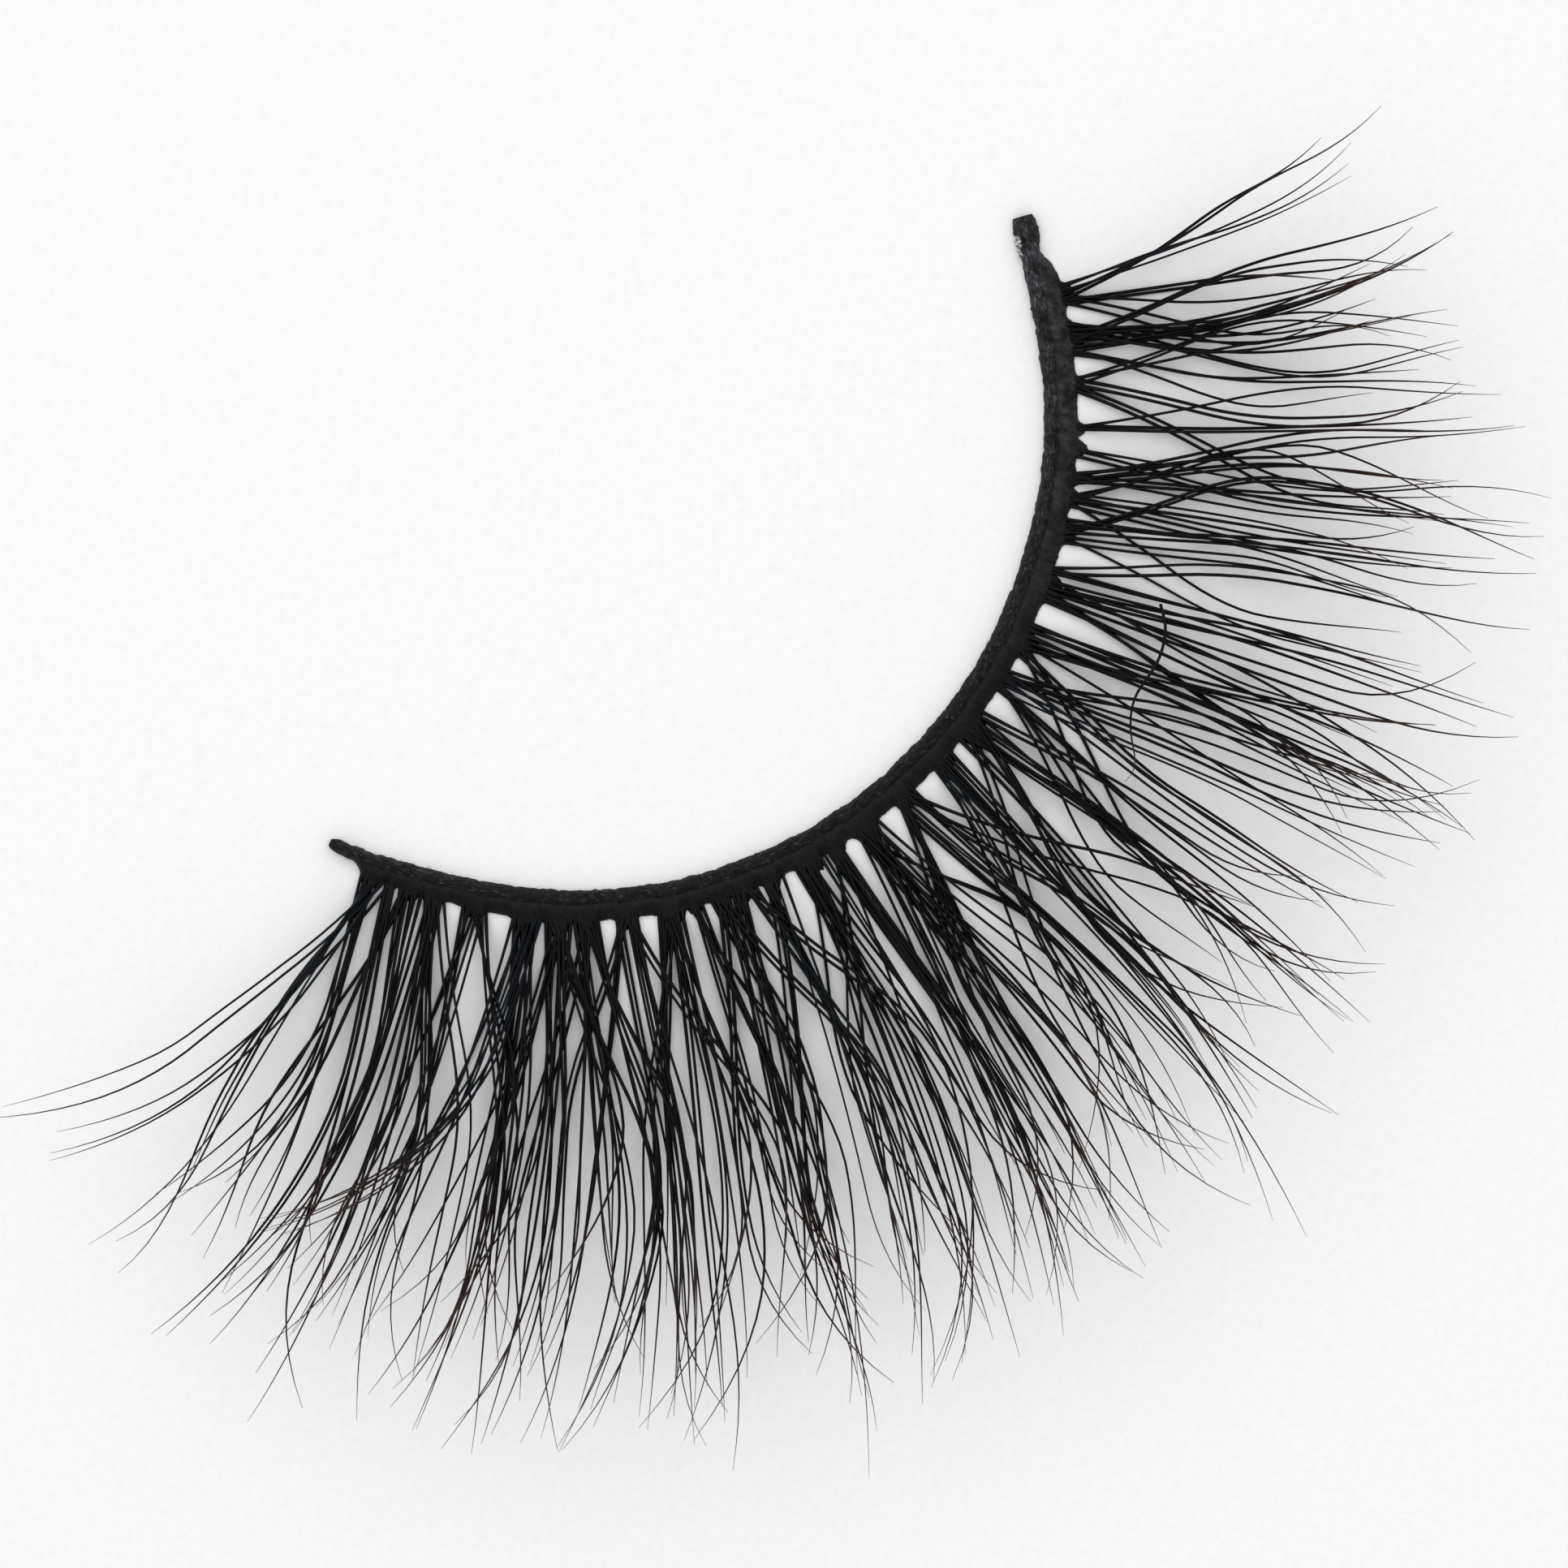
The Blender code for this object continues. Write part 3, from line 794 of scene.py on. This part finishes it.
def list_strands():
    """Every strand of the fringe as a row of HAIR_COLUMNS."""
    strands = []
    for entry in LOCKS:
        lock = dict(zip(LOCK_COLUMNS, entry))
        for part, side, level in STRAND_PARTS:
            hairs = round(lock[part + "_hairs"] * table_value(HAIR_SHARE, lock["root"]))
            if hairs:
                root = lock["root"] + side * lock["root_half"]
                waist = lock["root"] + lock[part + "_shift"]
                tip = waist + table_value(TIP_SWEEP, waist)
                spread = lock["root_half"] * ROOT_FILL
                strands.append((root, waist, tip, lock["reach"], hairs, level, spread, len(strands)))
    return strands


def strand_points(name, strands):
    """One point for each strand, carrying its row as attributes."""
    mesh = bpy.data.meshes.new(name)
    mesh.from_pydata([(0.0, 0.0, 0.0)] * len(strands), [], [])
    for number, label in enumerate(HAIR_COLUMNS):
        column = mesh.attributes.new(label, "FLOAT", "POINT")
        for index, strand in enumerate(strands):
            column.data[index].value = strand[number]
    return mesh


def make_draw(tree, seed, codes, draws):
    """A function that gives a named draw: one random number for each code, always the same."""

    def draw(name):
        each, low, high, step = draws[name]
        feeds = {0: low, 1: high, "ID": codes[each], "Seed": plus(tree, seed, float(step))}
        return put_out(add_node(tree, "FunctionNodeRandomValue", feeds, data_type="FLOAT"), "Value")

    return draw


def ease_from(tree, share, start, power):
    """Nothing up to a start, then a curve that rises to 1 at the end."""
    late = reckon(tree, "DIVIDE", minus(tree, share, start), 1.0 - start)
    return reckon(tree, "POWER", reckon(tree, "MAXIMUM", 0.0, late), power)


def lines_on_points(tree, points, steps):
    """A line on every point, and the share of the way along it at each of its steps."""
    line = output(tree, "GeometryNodeCurvePrimitiveLine", {"End": (1.0, 0.0, 0.0)})
    line = output(tree, "GeometryNodeResampleCurve", {"Curve": line, "Count": steps})
    copies = output(tree, "GeometryNodeInstanceOnPoints", {"Points": points, "Instance": line})
    curves = output(tree, "GeometryNodeRealizeInstances", {"Geometry": copies})
    return curves, output(tree, "GeometryNodeSplineParameter")


def tube_along(tree, curve, sides, taper, girth):
    """A closed tube along every curve, with a radius of the taper times the girth."""
    ring = output(tree, "GeometryNodeCurvePrimitiveCircle", {"Resolution": sides, "Radius": 1.0})
    scale = times(tree, taper, girth)
    feeds = {"Curve": curve, "Profile Curve": ring, "Scale": scale, "Fill Caps": True}
    return output(tree, "GeometryNodeCurveToMesh", feeds)


def draw_hair(tree, points, band, thickness, result, material):
    """Turns points that carry a hair's numbers into tapered hairs along the fan."""
    curves, share = lines_on_points(tree, points, HAIR_STEPS)
    root, waist, tip = (attribute(tree, name) for name in ("root", "waist", "tip"))
    gone = reckon(tree, "DIVIDE", share, attribute(tree, "waist_share"))
    gone = reckon(tree, "MINIMUM", CROSSING_END, gone)
    easing = reckon(tree, "MAXIMUM", 0.0, minus(tree, gone, CROSSING_EASE))
    slowing = -0.5 / (CROSSING_END - CROSSING_EASE)
    crossing = times_plus(tree, reckon(tree, "POWER", easing, 2.0), slowing, gone)
    station = between(tree, root, waist, crossing)
    sweep = ease_from(tree, share, *SWEEP_EASE)
    station = times_plus(tree, minus(tree, tip, waist), sweep, station)
    gather = ramp(tree, share, GATHER_START, 1.0, 1.0, GATHER_SHARE, "SMOOTHSTEP")
    spread = times(tree, crossing, gather, attribute(tree, "waist_off"))
    station = plus(tree, station, spread)
    hook = ease_from(tree, share, *HOOK_EASE)
    station = times_plus(tree, attribute(tree, "hook"), hook, station)
    row = times(tree, attribute(tree, "code"), WAVE_STEP)
    spot = vector(tree, times(tree, share, WAVE_STRETCH), row, 0.0)
    wave = times(tree, noise_about_zero(tree, spot, WAVE_GRAIN, 0.0), share)
    station = times_plus(tree, wave, attribute(tree, "wobble"), station)
    outward = between(tree, ROOT_OUTWARD, attribute(tree, "reach"), share)
    rooted = reckon(tree, "POWER", ramp(tree, share, *ROOT_SPAN, 1.0, 0.0), 2.0)
    height = between(tree, attribute(tree, "level"), ROOT_HEIGHT, rooted)
    curl = ease_from(tree, share, *CURL_EASE)
    height = times_plus(tree, attribute(tree, "rise"), curl, height)
    height = minus(tree, height, ramp(tree, share, 0.0, BURIED_SHARE, BURIED_DEPTH, 0.0))
    curves = store(tree, curves, "share", share)
    placed = put_on_band(tree, curves, band, station, outward, height)
    taper = times_plus(tree, reckon(tree, "POWER", share, TAPER_POWER), -TAPER_LOSS, 1.0)
    taper = plus(tree, taper, ramp(tree, share, 0.0, COAT_SHARE, COAT_GIRTH, 0.0))
    girth = times(tree, thickness, 0.5 * MM, attribute(tree, "girth"))
    finish_tree(tree, result, tube_along(tree, placed, HAIR_SIDES, taper, girth), material)


def make_hair_tree(name, holder, material):
    tree, given, result, band = piece_tree(name, HAIR_SIZES, holder)
    hairs = attribute(tree, "hairs")
    row = attribute(tree, "row")
    feeds = {"Geometry": given["Geometry"], "Amount": hairs}
    points, number = add_node(tree, "GeometryNodeDuplicateElements", feeds, domain="POINT").outputs
    pair = reckon(tree, "FLOOR", reckon(tree, "DIVIDE", number, 2.0))
    pairs = reckon(tree, "CEIL", reckon(tree, "DIVIDE", hairs, 2.0))
    mate = minus(tree, times(tree, reckon(tree, "MODULO", number, 2.0), 2.0), 1.0)
    codes = {
        "pair": times_plus(tree, row, ROW_CODES, pair),
        "hair": times_plus(tree, row, ROW_CODES, number),
    }
    draw = make_draw(tree, given["Seed"], codes, HAIR_DRAWS)
    middle = reckon(tree, "DIVIDE", plus(tree, pair, draw("place in strand")), pairs)
    side = times_plus(tree, middle, 2.0, -1.0)
    gap = times(tree, mate, given["Pair Gap"], draw("gap"))
    root = times_plus(tree, side, attribute(tree, "spread"), attribute(tree, "root"))
    lean = times_plus(tree, side, -CROSS_LEAN, draw("lean"))
    far = times(tree, reckon(tree, "ABSOLUTE", lean), given["Waist Spread"])
    waist_off = plus(tree, times(tree, lean, far), draw("waist"))
    tip_off = times(tree, reckon(tree, "POWER", draw("tip"), SCATTER_POWER), given["Tip Spread"])
    tip = plus(tree, attribute(tree, "tip"), tip_off)
    short = reckon(tree, "POWER", draw("shortening"), SHORTENING_POWER)
    short = times(tree, short, given["Shortening"])
    reach = times(tree, attribute(tree, "reach"), minus(tree, 1.0, short))
    curl = times_plus(tree, draw("curl"), given["Curl Scatter"], given["Curl"])
    hook = times(tree, reckon(tree, "POWER", draw("hook"), SCATTER_POWER), given["Hook"])
    for label, value in (
        ("code", codes["hair"]),
        ("root", plus(tree, root, gap)),
        ("waist_off", times_plus(tree, gap, PAIR_KEPT, waist_off)),
        ("tip", times_plus(tree, mate, draw("parting"), tip)),
        ("level", plus(tree, attribute(tree, "level"), draw("level"))),
        ("girth", draw("girth")),
        ("tint", draw("tint")),
        ("waist_share", draw("waist_share")),
        ("wobble", given["Wobble"]),
        ("hook", hook),
        ("rise", times(tree, reach, curl)),
        ("reach", reach),
    ):
        points = store(tree, points, label, value)
    draw_hair(tree, points, band, given["Thickness"], result, material)
    return tree


def make_hair_look(name, black):
    """A dull black fibre that turns brown towards its thin tip; for the strays the black carries a
    painted blue-grey sheen.
    """
    material, tree, shader = dress(name)
    share = add_node(tree, "ShaderNodeAttribute", attribute_name="share").outputs["Fac"]
    tint = add_node(tree, "ShaderNodeAttribute", attribute_name="tint").outputs["Fac"]
    fade = times_plus(tree, tint, 0.25, reckon(tree, "POWER", share, 3.0))
    colour = colour_steps(tree, fade, ((0.42, black), (1.0, HAIR_BROWN)))
    feed(tree, shader, {"Base Color": colour, "Roughness": 0.40, "Specular IOR Level": 0.10})
    return material


hair_look = make_hair_look("lash_hair", HAIR_BLACK)
hairs = grow(
    "lash_hairs",
    make_hair_tree("Lash hairs", band_line, hair_look),
    HAIR_SIZES,
    strand_points("strands", list_strands()),
    hair_look,
)
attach(hairs, "root")
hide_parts("lash_fringe")

# Stray hairs leave the strands. A few stand clear of the fan at its two ends, and the rest
# cross its gaps or reach a little past its other tips. They are the same fibre as the lash
# hairs, thinner and more wavy, their black tinted with a painted blue-grey sky sheen.
STRAYS = (
    # root, waist, tip, reach, hairs
    (1.75, -0.45, -3.10, 11.6, 2),
    (1.55, 0.30, -1.95, 11.2, 2),
    (1.50, 0.40, -1.65, 11.9, 1),
    (1.45, 0.70, -0.80, 12.7, 1),
    (3.20, 3.20, 2.65, 15.9, 1),
    (3.25, 4.75, 4.10, 13.2, 2),
    (4.40, 3.60, 3.00, 12.6, 2),
    (5.35, 4.25, 3.40, 13.0, 2),
    (5.90, 4.90, 1.90, 10.4, 6),
    (8.40, 9.20, 9.30, 15.4, 1),
    (11.00, 11.15, 10.95, 16.1, 1),
    (11.60, 12.60, 12.40, 13.6, 2),
    (12.30, 11.90, 11.30, 13.2, 2),
    (13.60, 13.75, 11.80, 14.5, 2),
    (15.10, 16.40, 16.00, 13.4, 2),
    (16.10, 16.80, 16.60, 13.0, 2),
    (17.45, 16.25, 15.70, 13.6, 2),
    (17.40, 17.20, 16.40, 16.1, 2),
    (20.00, 20.60, 20.70, 12.6, 2),
    (20.35, 19.90, 19.90, 12.4, 2),
    (26.70, 26.20, 27.35, 13.2, 1),
    (30.80, 31.40, 32.05, 9.2, 3),
)
STRAY_LEVEL = 0.75
STRAY_SPREAD = 0.10
STRAY_SIZES = {
    "Thickness": 0.080,
    "Pair Gap": 0.16,
    "Waist Spread": 0.18,
    "Tip Spread": 0.30,
    "Shortening": 0.08,
    "Curl": 0.40,
    "Curl Scatter": 0.04,
    "Wobble": 0.12,
    "Hook": 0.60,
    "Seed": 40,
}
# The strays' blue-grey base colour is a painted sheen of reflected sky.
STRAY_SHEEN_BLUE = (0.0032, 0.0048, 0.0068, 1.0)
stray_rows = [(*entry, STRAY_LEVEL, STRAY_SPREAD, number) for number, entry in enumerate(STRAYS)]
stray_look = make_hair_look("stray_hair", STRAY_SHEEN_BLUE)
strays = grow(
    "stray_hairs",
    make_hair_tree("Stray hairs", band_line, stray_look),
    STRAY_SIZES,
    strand_points("stray_rows", stray_rows),
    stray_look,
)
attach(strays, "root")
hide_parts("lash_fringe")

# A loose hair has fallen across the fan. It lies over the strands in an open S, and nothing
# holds it to the strip.
LOOSE_HAIR = (
    # station, outward, height along the hair in mm
    (23.35, 3.40, 1.30),
    (22.85, 3.75, 1.42),
    (22.20, 3.85, 1.46),
    (21.35, 3.70, 1.42),
    (20.75, 3.95, 1.46),
    (20.15, 4.55, 1.56),
    (19.75, 4.60, 1.56),
)
LOOSE_SIZES = {"Thickness": 0.085}
LOOSE_STEPS = 60
LOOSE_SIDES = 6
LOOSE_TINT = 0.6
LOOSE_TAPER_LOSS = 0.85
LOOSE_TAPER_POWER = 2.4


def make_loose_tree(holder, material):
    tree, given, result, band = piece_tree("Loose hair", LOOSE_SIZES, holder)
    wire = output(tree, "GeometryNodeMeshToCurve", {"Mesh": given["Geometry"]})
    place = output(tree, "GeometryNodeInputPosition")
    placed = put_on_band(tree, wire, band, *add_node(tree, "ShaderNodeSeparateXYZ", {0: place}).outputs)
    bent = output(tree, "GeometryNodeCurveSplineType", {"Curve": placed}, spline_type="CATMULL_ROM")
    even = output(tree, "GeometryNodeResampleCurve", {"Curve": bent, "Count": LOOSE_STEPS})
    share = output(tree, "GeometryNodeSplineParameter")
    even = store(tree, store(tree, even, "share", share), "tint", LOOSE_TINT)
    fallen = reckon(tree, "POWER", share, LOOSE_TAPER_POWER)
    taper = times_plus(tree, fallen, -LOOSE_TAPER_LOSS, 1.0)
    girth = times(tree, given["Thickness"], 0.5 * MM)
    finish_tree(tree, result, tube_along(tree, even, LOOSE_SIDES, taper, girth), material)
    return tree


loose_wire = bpy.data.meshes.new("loose_wire")
loose_wire.from_pydata(LOOSE_HAIR, [(n, n + 1) for n in range(len(LOOSE_HAIR) - 1)], [])
loose = grow(
    "loose_hair",
    make_loose_tree(band_line, hair_look),
    LOOSE_SIZES,
    loose_wire,
    hair_look,
)
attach(loose, "root")
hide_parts("lash_fringe")

# Short ends of cotton fluff stand out of the thread's inner edge. More of them stand near
# the two cut tabs than along its middle.
FLUFF_SIZES = {
    "Count": 50,
    "Length": 0.16,
    "Thickness": 0.012,
    "Seed": 3,
}
FLUFF_STEPS = 7
FLUFF_SIDES = 4
FLUFF_DRAWS = {
    # what is drawn for each fibre, from, to, number added to the seed
    "way from middle": ("fibre", -1.0, 1.0, 1),
    "lean": ("fibre", -0.9, 0.9, 2),
    "bow": ("fibre", -0.5, 0.5, 3),
    "lift": ("fibre", -0.2, 0.5, 4),
    "length": ("fibre", 0.3, 1.0, 5),
    "start_height": ("fibre", 0.12, 0.36, 6),
}
FLUFF_ROOTING = 0.07
FLUFF_CLEARANCE = 0.02
FLUFF_TAPER_LOSS = 0.7


def make_fluff_tree(holder, material):
    tree, given, result, band = piece_tree("Cotton fluff", FLUFF_SIZES, holder)
    points = output(tree, "GeometryNodePoints", {"Count": given["Count"]})
    codes = {"fibre": output(tree, "GeometryNodeInputIndex")}
    draw = make_draw(tree, given["Seed"], codes, FLUFF_DRAWS)
    way = draw("way from middle")
    crowded = reckon(tree, "POWER", reckon(tree, "ABSOLUTE", way), 0.5)
    crowded = times(tree, crowded, reckon(tree, "SIGN", way))
    middle = 0.5 * BAND_LENGTH
    points = store(tree, points, "station", times_plus(tree, crowded, middle, middle))
    points = store(tree, points, "length", times(tree, given["Length"], draw("length")))
    for label in ("lean", "bow", "lift", "start_height"):
        points = store(tree, points, label, draw(label))
    curves, share = lines_on_points(tree, points, FLUFF_STEPS)
    start = attribute(tree, "station")
    run = times(tree, share, attribute(tree, "length"))
    bowed = times(tree, run, share, attribute(tree, "bow"))
    station = times_plus(tree, run, attribute(tree, "lean"), start)
    station = times_plus(tree, bowed, 2.0, station)
    half = band_value(tree, band, "thread_half", start)
    edge = minus(tree, band_value(tree, band, "thread_middle", start), half)
    outward = plus(tree, minus(tree, edge, run), FLUFF_ROOTING)
    height = times_plus(tree, run, attribute(tree, "lift"), attribute(tree, "start_height"))
    height = reckon(tree, "MAXIMUM", height, FLUFF_CLEARANCE)
    placed = put_on_band(tree, curves, band, station, outward, height)
    taper = times_plus(tree, share, -FLUFF_TAPER_LOSS, 1.0)
    girth = times(tree, given["Thickness"], 0.5 * MM)
    finish_tree(tree, result, tube_along(tree, placed, FLUFF_SIDES, taper, girth), material)
    return tree


fluff = grow("cotton_fluff", make_fluff_tree(band_line, cotton), FLUFF_SIZES, single_point(), cotton)
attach(fluff, "root")
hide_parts("cotton_thread")

# Specks of old glue have dried whitish and glossy on the inner side of the upper tab,
# where the strip was last held.
SPECK_SIZES = {
    "Count": 90,
    "First Station": 31.80,
    "Last Station": 32.42,
    "Size": 0.072,
    "Unevenness": 0.34,
    "Seed": 8,
}
SPECK_DRAWS = {
    # what is drawn for each speck, from, to, number added to the seed
    "station": ("speck", 0.0, 1.0, 1),
    "across": ("speck", -1.0, -0.62, 2),
    "size": ("speck", 0.3, 1.0, 3),
    "turn about x": ("speck", 0.0, 6.28, 4),
    "turn about y": ("speck", 0.0, 6.28, 5),
    "turn about z": ("speck", 0.0, 6.28, 6),
}
SPECK_FLATNESS = (1.0, 0.75, 0.35)
SPECK_REACH = 1.02
SPECK_LOW = 0.10
SPECK_RISE = 0.30
SPECK_GRAIN = 12000.0
SPECK_DARK = (0.16, 0.16, 0.17, 1.0)
SPECK_PALE = (0.80, 0.81, 0.83, 1.0)


def make_mottled(name, grain, steps, relief, looks):
    """A look mottled through colour steps, with a fine relief of the same grain."""
    material, tree, shader = dress(name)
    spot = add_node(tree, "ShaderNodeTexCoord").outputs["Object"]
    cloud = noise(tree, spot, *grain)
    feed(tree, shader, {"Base Color": colour_steps(tree, cloud, steps), **looks})
    feed(tree, shader, {"Normal": bump(tree, cloud, *relief)})
    return material


def make_speck_tree(holder, material):
    tree, given, result, band = piece_tree("Glue specks", SPECK_SIZES, holder)
    points = output(tree, "GeometryNodePoints", {"Count": given["Count"]})
    codes = {"speck": output(tree, "GeometryNodeInputIndex")}
    draw = make_draw(tree, given["Seed"], codes, SPECK_DRAWS)
    station = between(tree, given["First Station"], given["Last Station"], draw("station"))
    across = draw("across")
    half = times(tree, band_value(tree, band, "thread_half", station), SPECK_REACH)
    middle = band_value(tree, band, "thread_middle", station)
    outward = times_plus(tree, across, half, middle)
    bulge = reckon(tree, "SQRT", minus(tree, 1.0, reckon(tree, "POWER", across, 2.0)))
    height = times_plus(tree, bulge, SPECK_RISE, SPECK_LOW)
    full = times(tree, given["Size"], MM)
    size = times(tree, full, reckon(tree, "POWER", draw("size"), 2.0))
    copies = output(
        tree,
        "GeometryNodeInstanceOnPoints",
        {
            "Points": put_on_band(tree, points, band, station, outward, height),
            "Instance": output(tree, "GeometryNodeMeshIcoSphere", {"Radius": 1.0, "Subdivisions": 2}),
            "Rotation": vector(tree, *(draw("turn about " + axis) for axis in "xyz")),
            "Scale": vector(tree, *(times(tree, size, share) for share in SPECK_FLATNESS)),
        },
    )
    lumps = output(tree, "GeometryNodeRealizeInstances", {"Geometry": copies})
    shake = noise_about_zero(tree, output(tree, "GeometryNodeInputPosition"), SPECK_GRAIN, 1.0)
    reach = times(tree, shake, given["Unevenness"], full)
    push = vector_math(tree, "SCALE", output(tree, "GeometryNodeInputNormal"), reach)
    shaken = output(tree, "GeometryNodeSetPosition", {"Geometry": lumps, "Offset": push})
    finish_tree(tree, result, shaken, material)
    return tree


dry_glue = make_mottled(
    "dried_glue",
    (14000.0, 3.0),
    ((0.36, SPECK_DARK), (0.58, SPECK_PALE)),
    (0.4, 0.00001),
    {"Roughness": 0.18, "Transmission Weight": 0.45},
)
specks = grow("glue_specks", make_speck_tree(band_line, dry_glue), SPECK_SIZES, single_point(), dry_glue)
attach(specks, "root")
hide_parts("cotton_thread")

# The paper that the strip lies on is a plain white sheet. It has a faint tooth, made by
# two near tones and a very shallow relief.
PAPER_HALF = 0.4
PAPER_WHITE = (0.86, 0.86, 0.865, 1.0)
PAPER_SHADE = (0.835, 0.835, 0.842, 1.0)
paper_look = make_mottled(
    "paper",
    (4200.0, 4.0),
    ((0.30, PAPER_SHADE), (0.60, PAPER_WHITE)),
    (0.12, 0.00002),
    {"Roughness": 0.85},
)
sheet = bpy.data.meshes.new("paper_sheet")
corners = [(x * PAPER_HALF, y * PAPER_HALF, 0.0) for x, y in ((-1, -1), (1, -1), (1, 1), (-1, 1))]
sheet.from_pydata(corners, [], [(0, 1, 2, 3)])
sheet.materials.append(paper_look)
paper = bpy.data.objects.new("paper_sheet", sheet)
bpy.context.scene.collection.objects.link(paper)

# The light is one wide soft window light from beyond the top of the picture, a little to
# its left, over a pale room.
ROLL = math.radians(42.1)
PICTURE_RIGHT = Vector((math.cos(ROLL), -math.sin(ROLL), 0.0))
PICTURE_UP = Vector((math.sin(ROLL), math.cos(ROLL), 0.0))
ROOM_STRENGTH = 0.81
WINDOW_POWER = 1.24
WINDOW_SIZE = 0.65
WINDOW_UP = 0.17
WINDOW_LEFT = 0.07
WINDOW_HEIGHT = 0.46


def aim(thing, place, target, upward):
    """Puts a lamp or camera at a place, looking at a target, with its top towards upward."""
    back = (place - target).normalized()
    right = upward.cross(back).normalized()
    top = back.cross(right)
    turn = Matrix((right, top, back)).transposed()
    thing.matrix_world = Matrix.Translation(place) @ turn.to_4x4()


world = bpy.data.worlds.new("room")
world.use_nodes = True
world.node_tree.nodes["Background"].inputs["Color"].default_value = (1.0, 1.0, 1.0, 1.0)
world.node_tree.nodes["Background"].inputs["Strength"].default_value = ROOM_STRENGTH
bpy.context.scene.world = world
window = bpy.data.lights.new("window", "AREA")
window.shape = "SQUARE"
window.size = WINDOW_SIZE
window.energy = WINDOW_POWER
window_lamp = bpy.data.objects.new("window", window)
bpy.context.scene.collection.objects.link(window_lamp)
window_place = PICTURE_UP * WINDOW_UP - PICTURE_RIGHT * WINDOW_LEFT + Vector((0.0, 0.0, WINDOW_HEIGHT))
aim(window_lamp, window_place, Vector((0.0, 0.0, 0.0)), PICTURE_UP)

# The camera looks straight down at the paper, with the strip a little off the picture's
# middle and turned as it lies in the picture.
CAMERA_HEIGHT = 0.5
PICTURE_WIDTH = 0.042
SENSOR_WIDTH = 36.0
PICTURE_MIDDLE = Vector((-0.00038, 0.00542, 0.0))
lens = bpy.data.cameras.new("camera")
lens.type = "PERSP"
lens.sensor_width = SENSOR_WIDTH
lens.lens = SENSOR_WIDTH * CAMERA_HEIGHT / PICTURE_WIDTH
lens.clip_start = 0.01
lens.clip_end = 5.0
camera = bpy.data.objects.new("camera", lens)
bpy.context.scene.collection.objects.link(camera)
aim(camera, PICTURE_MIDDLE + Vector((0.0, 0.0, CAMERA_HEIGHT)), PICTURE_MIDDLE, PICTURE_UP)
bpy.context.scene.camera = camera
bpy.context.scene.view_settings.view_transform = "Standard"
bpy.context.scene.view_settings.look = "None"

# The band's wire is only a guide, so it goes.
bpy.data.objects.remove(band_line)
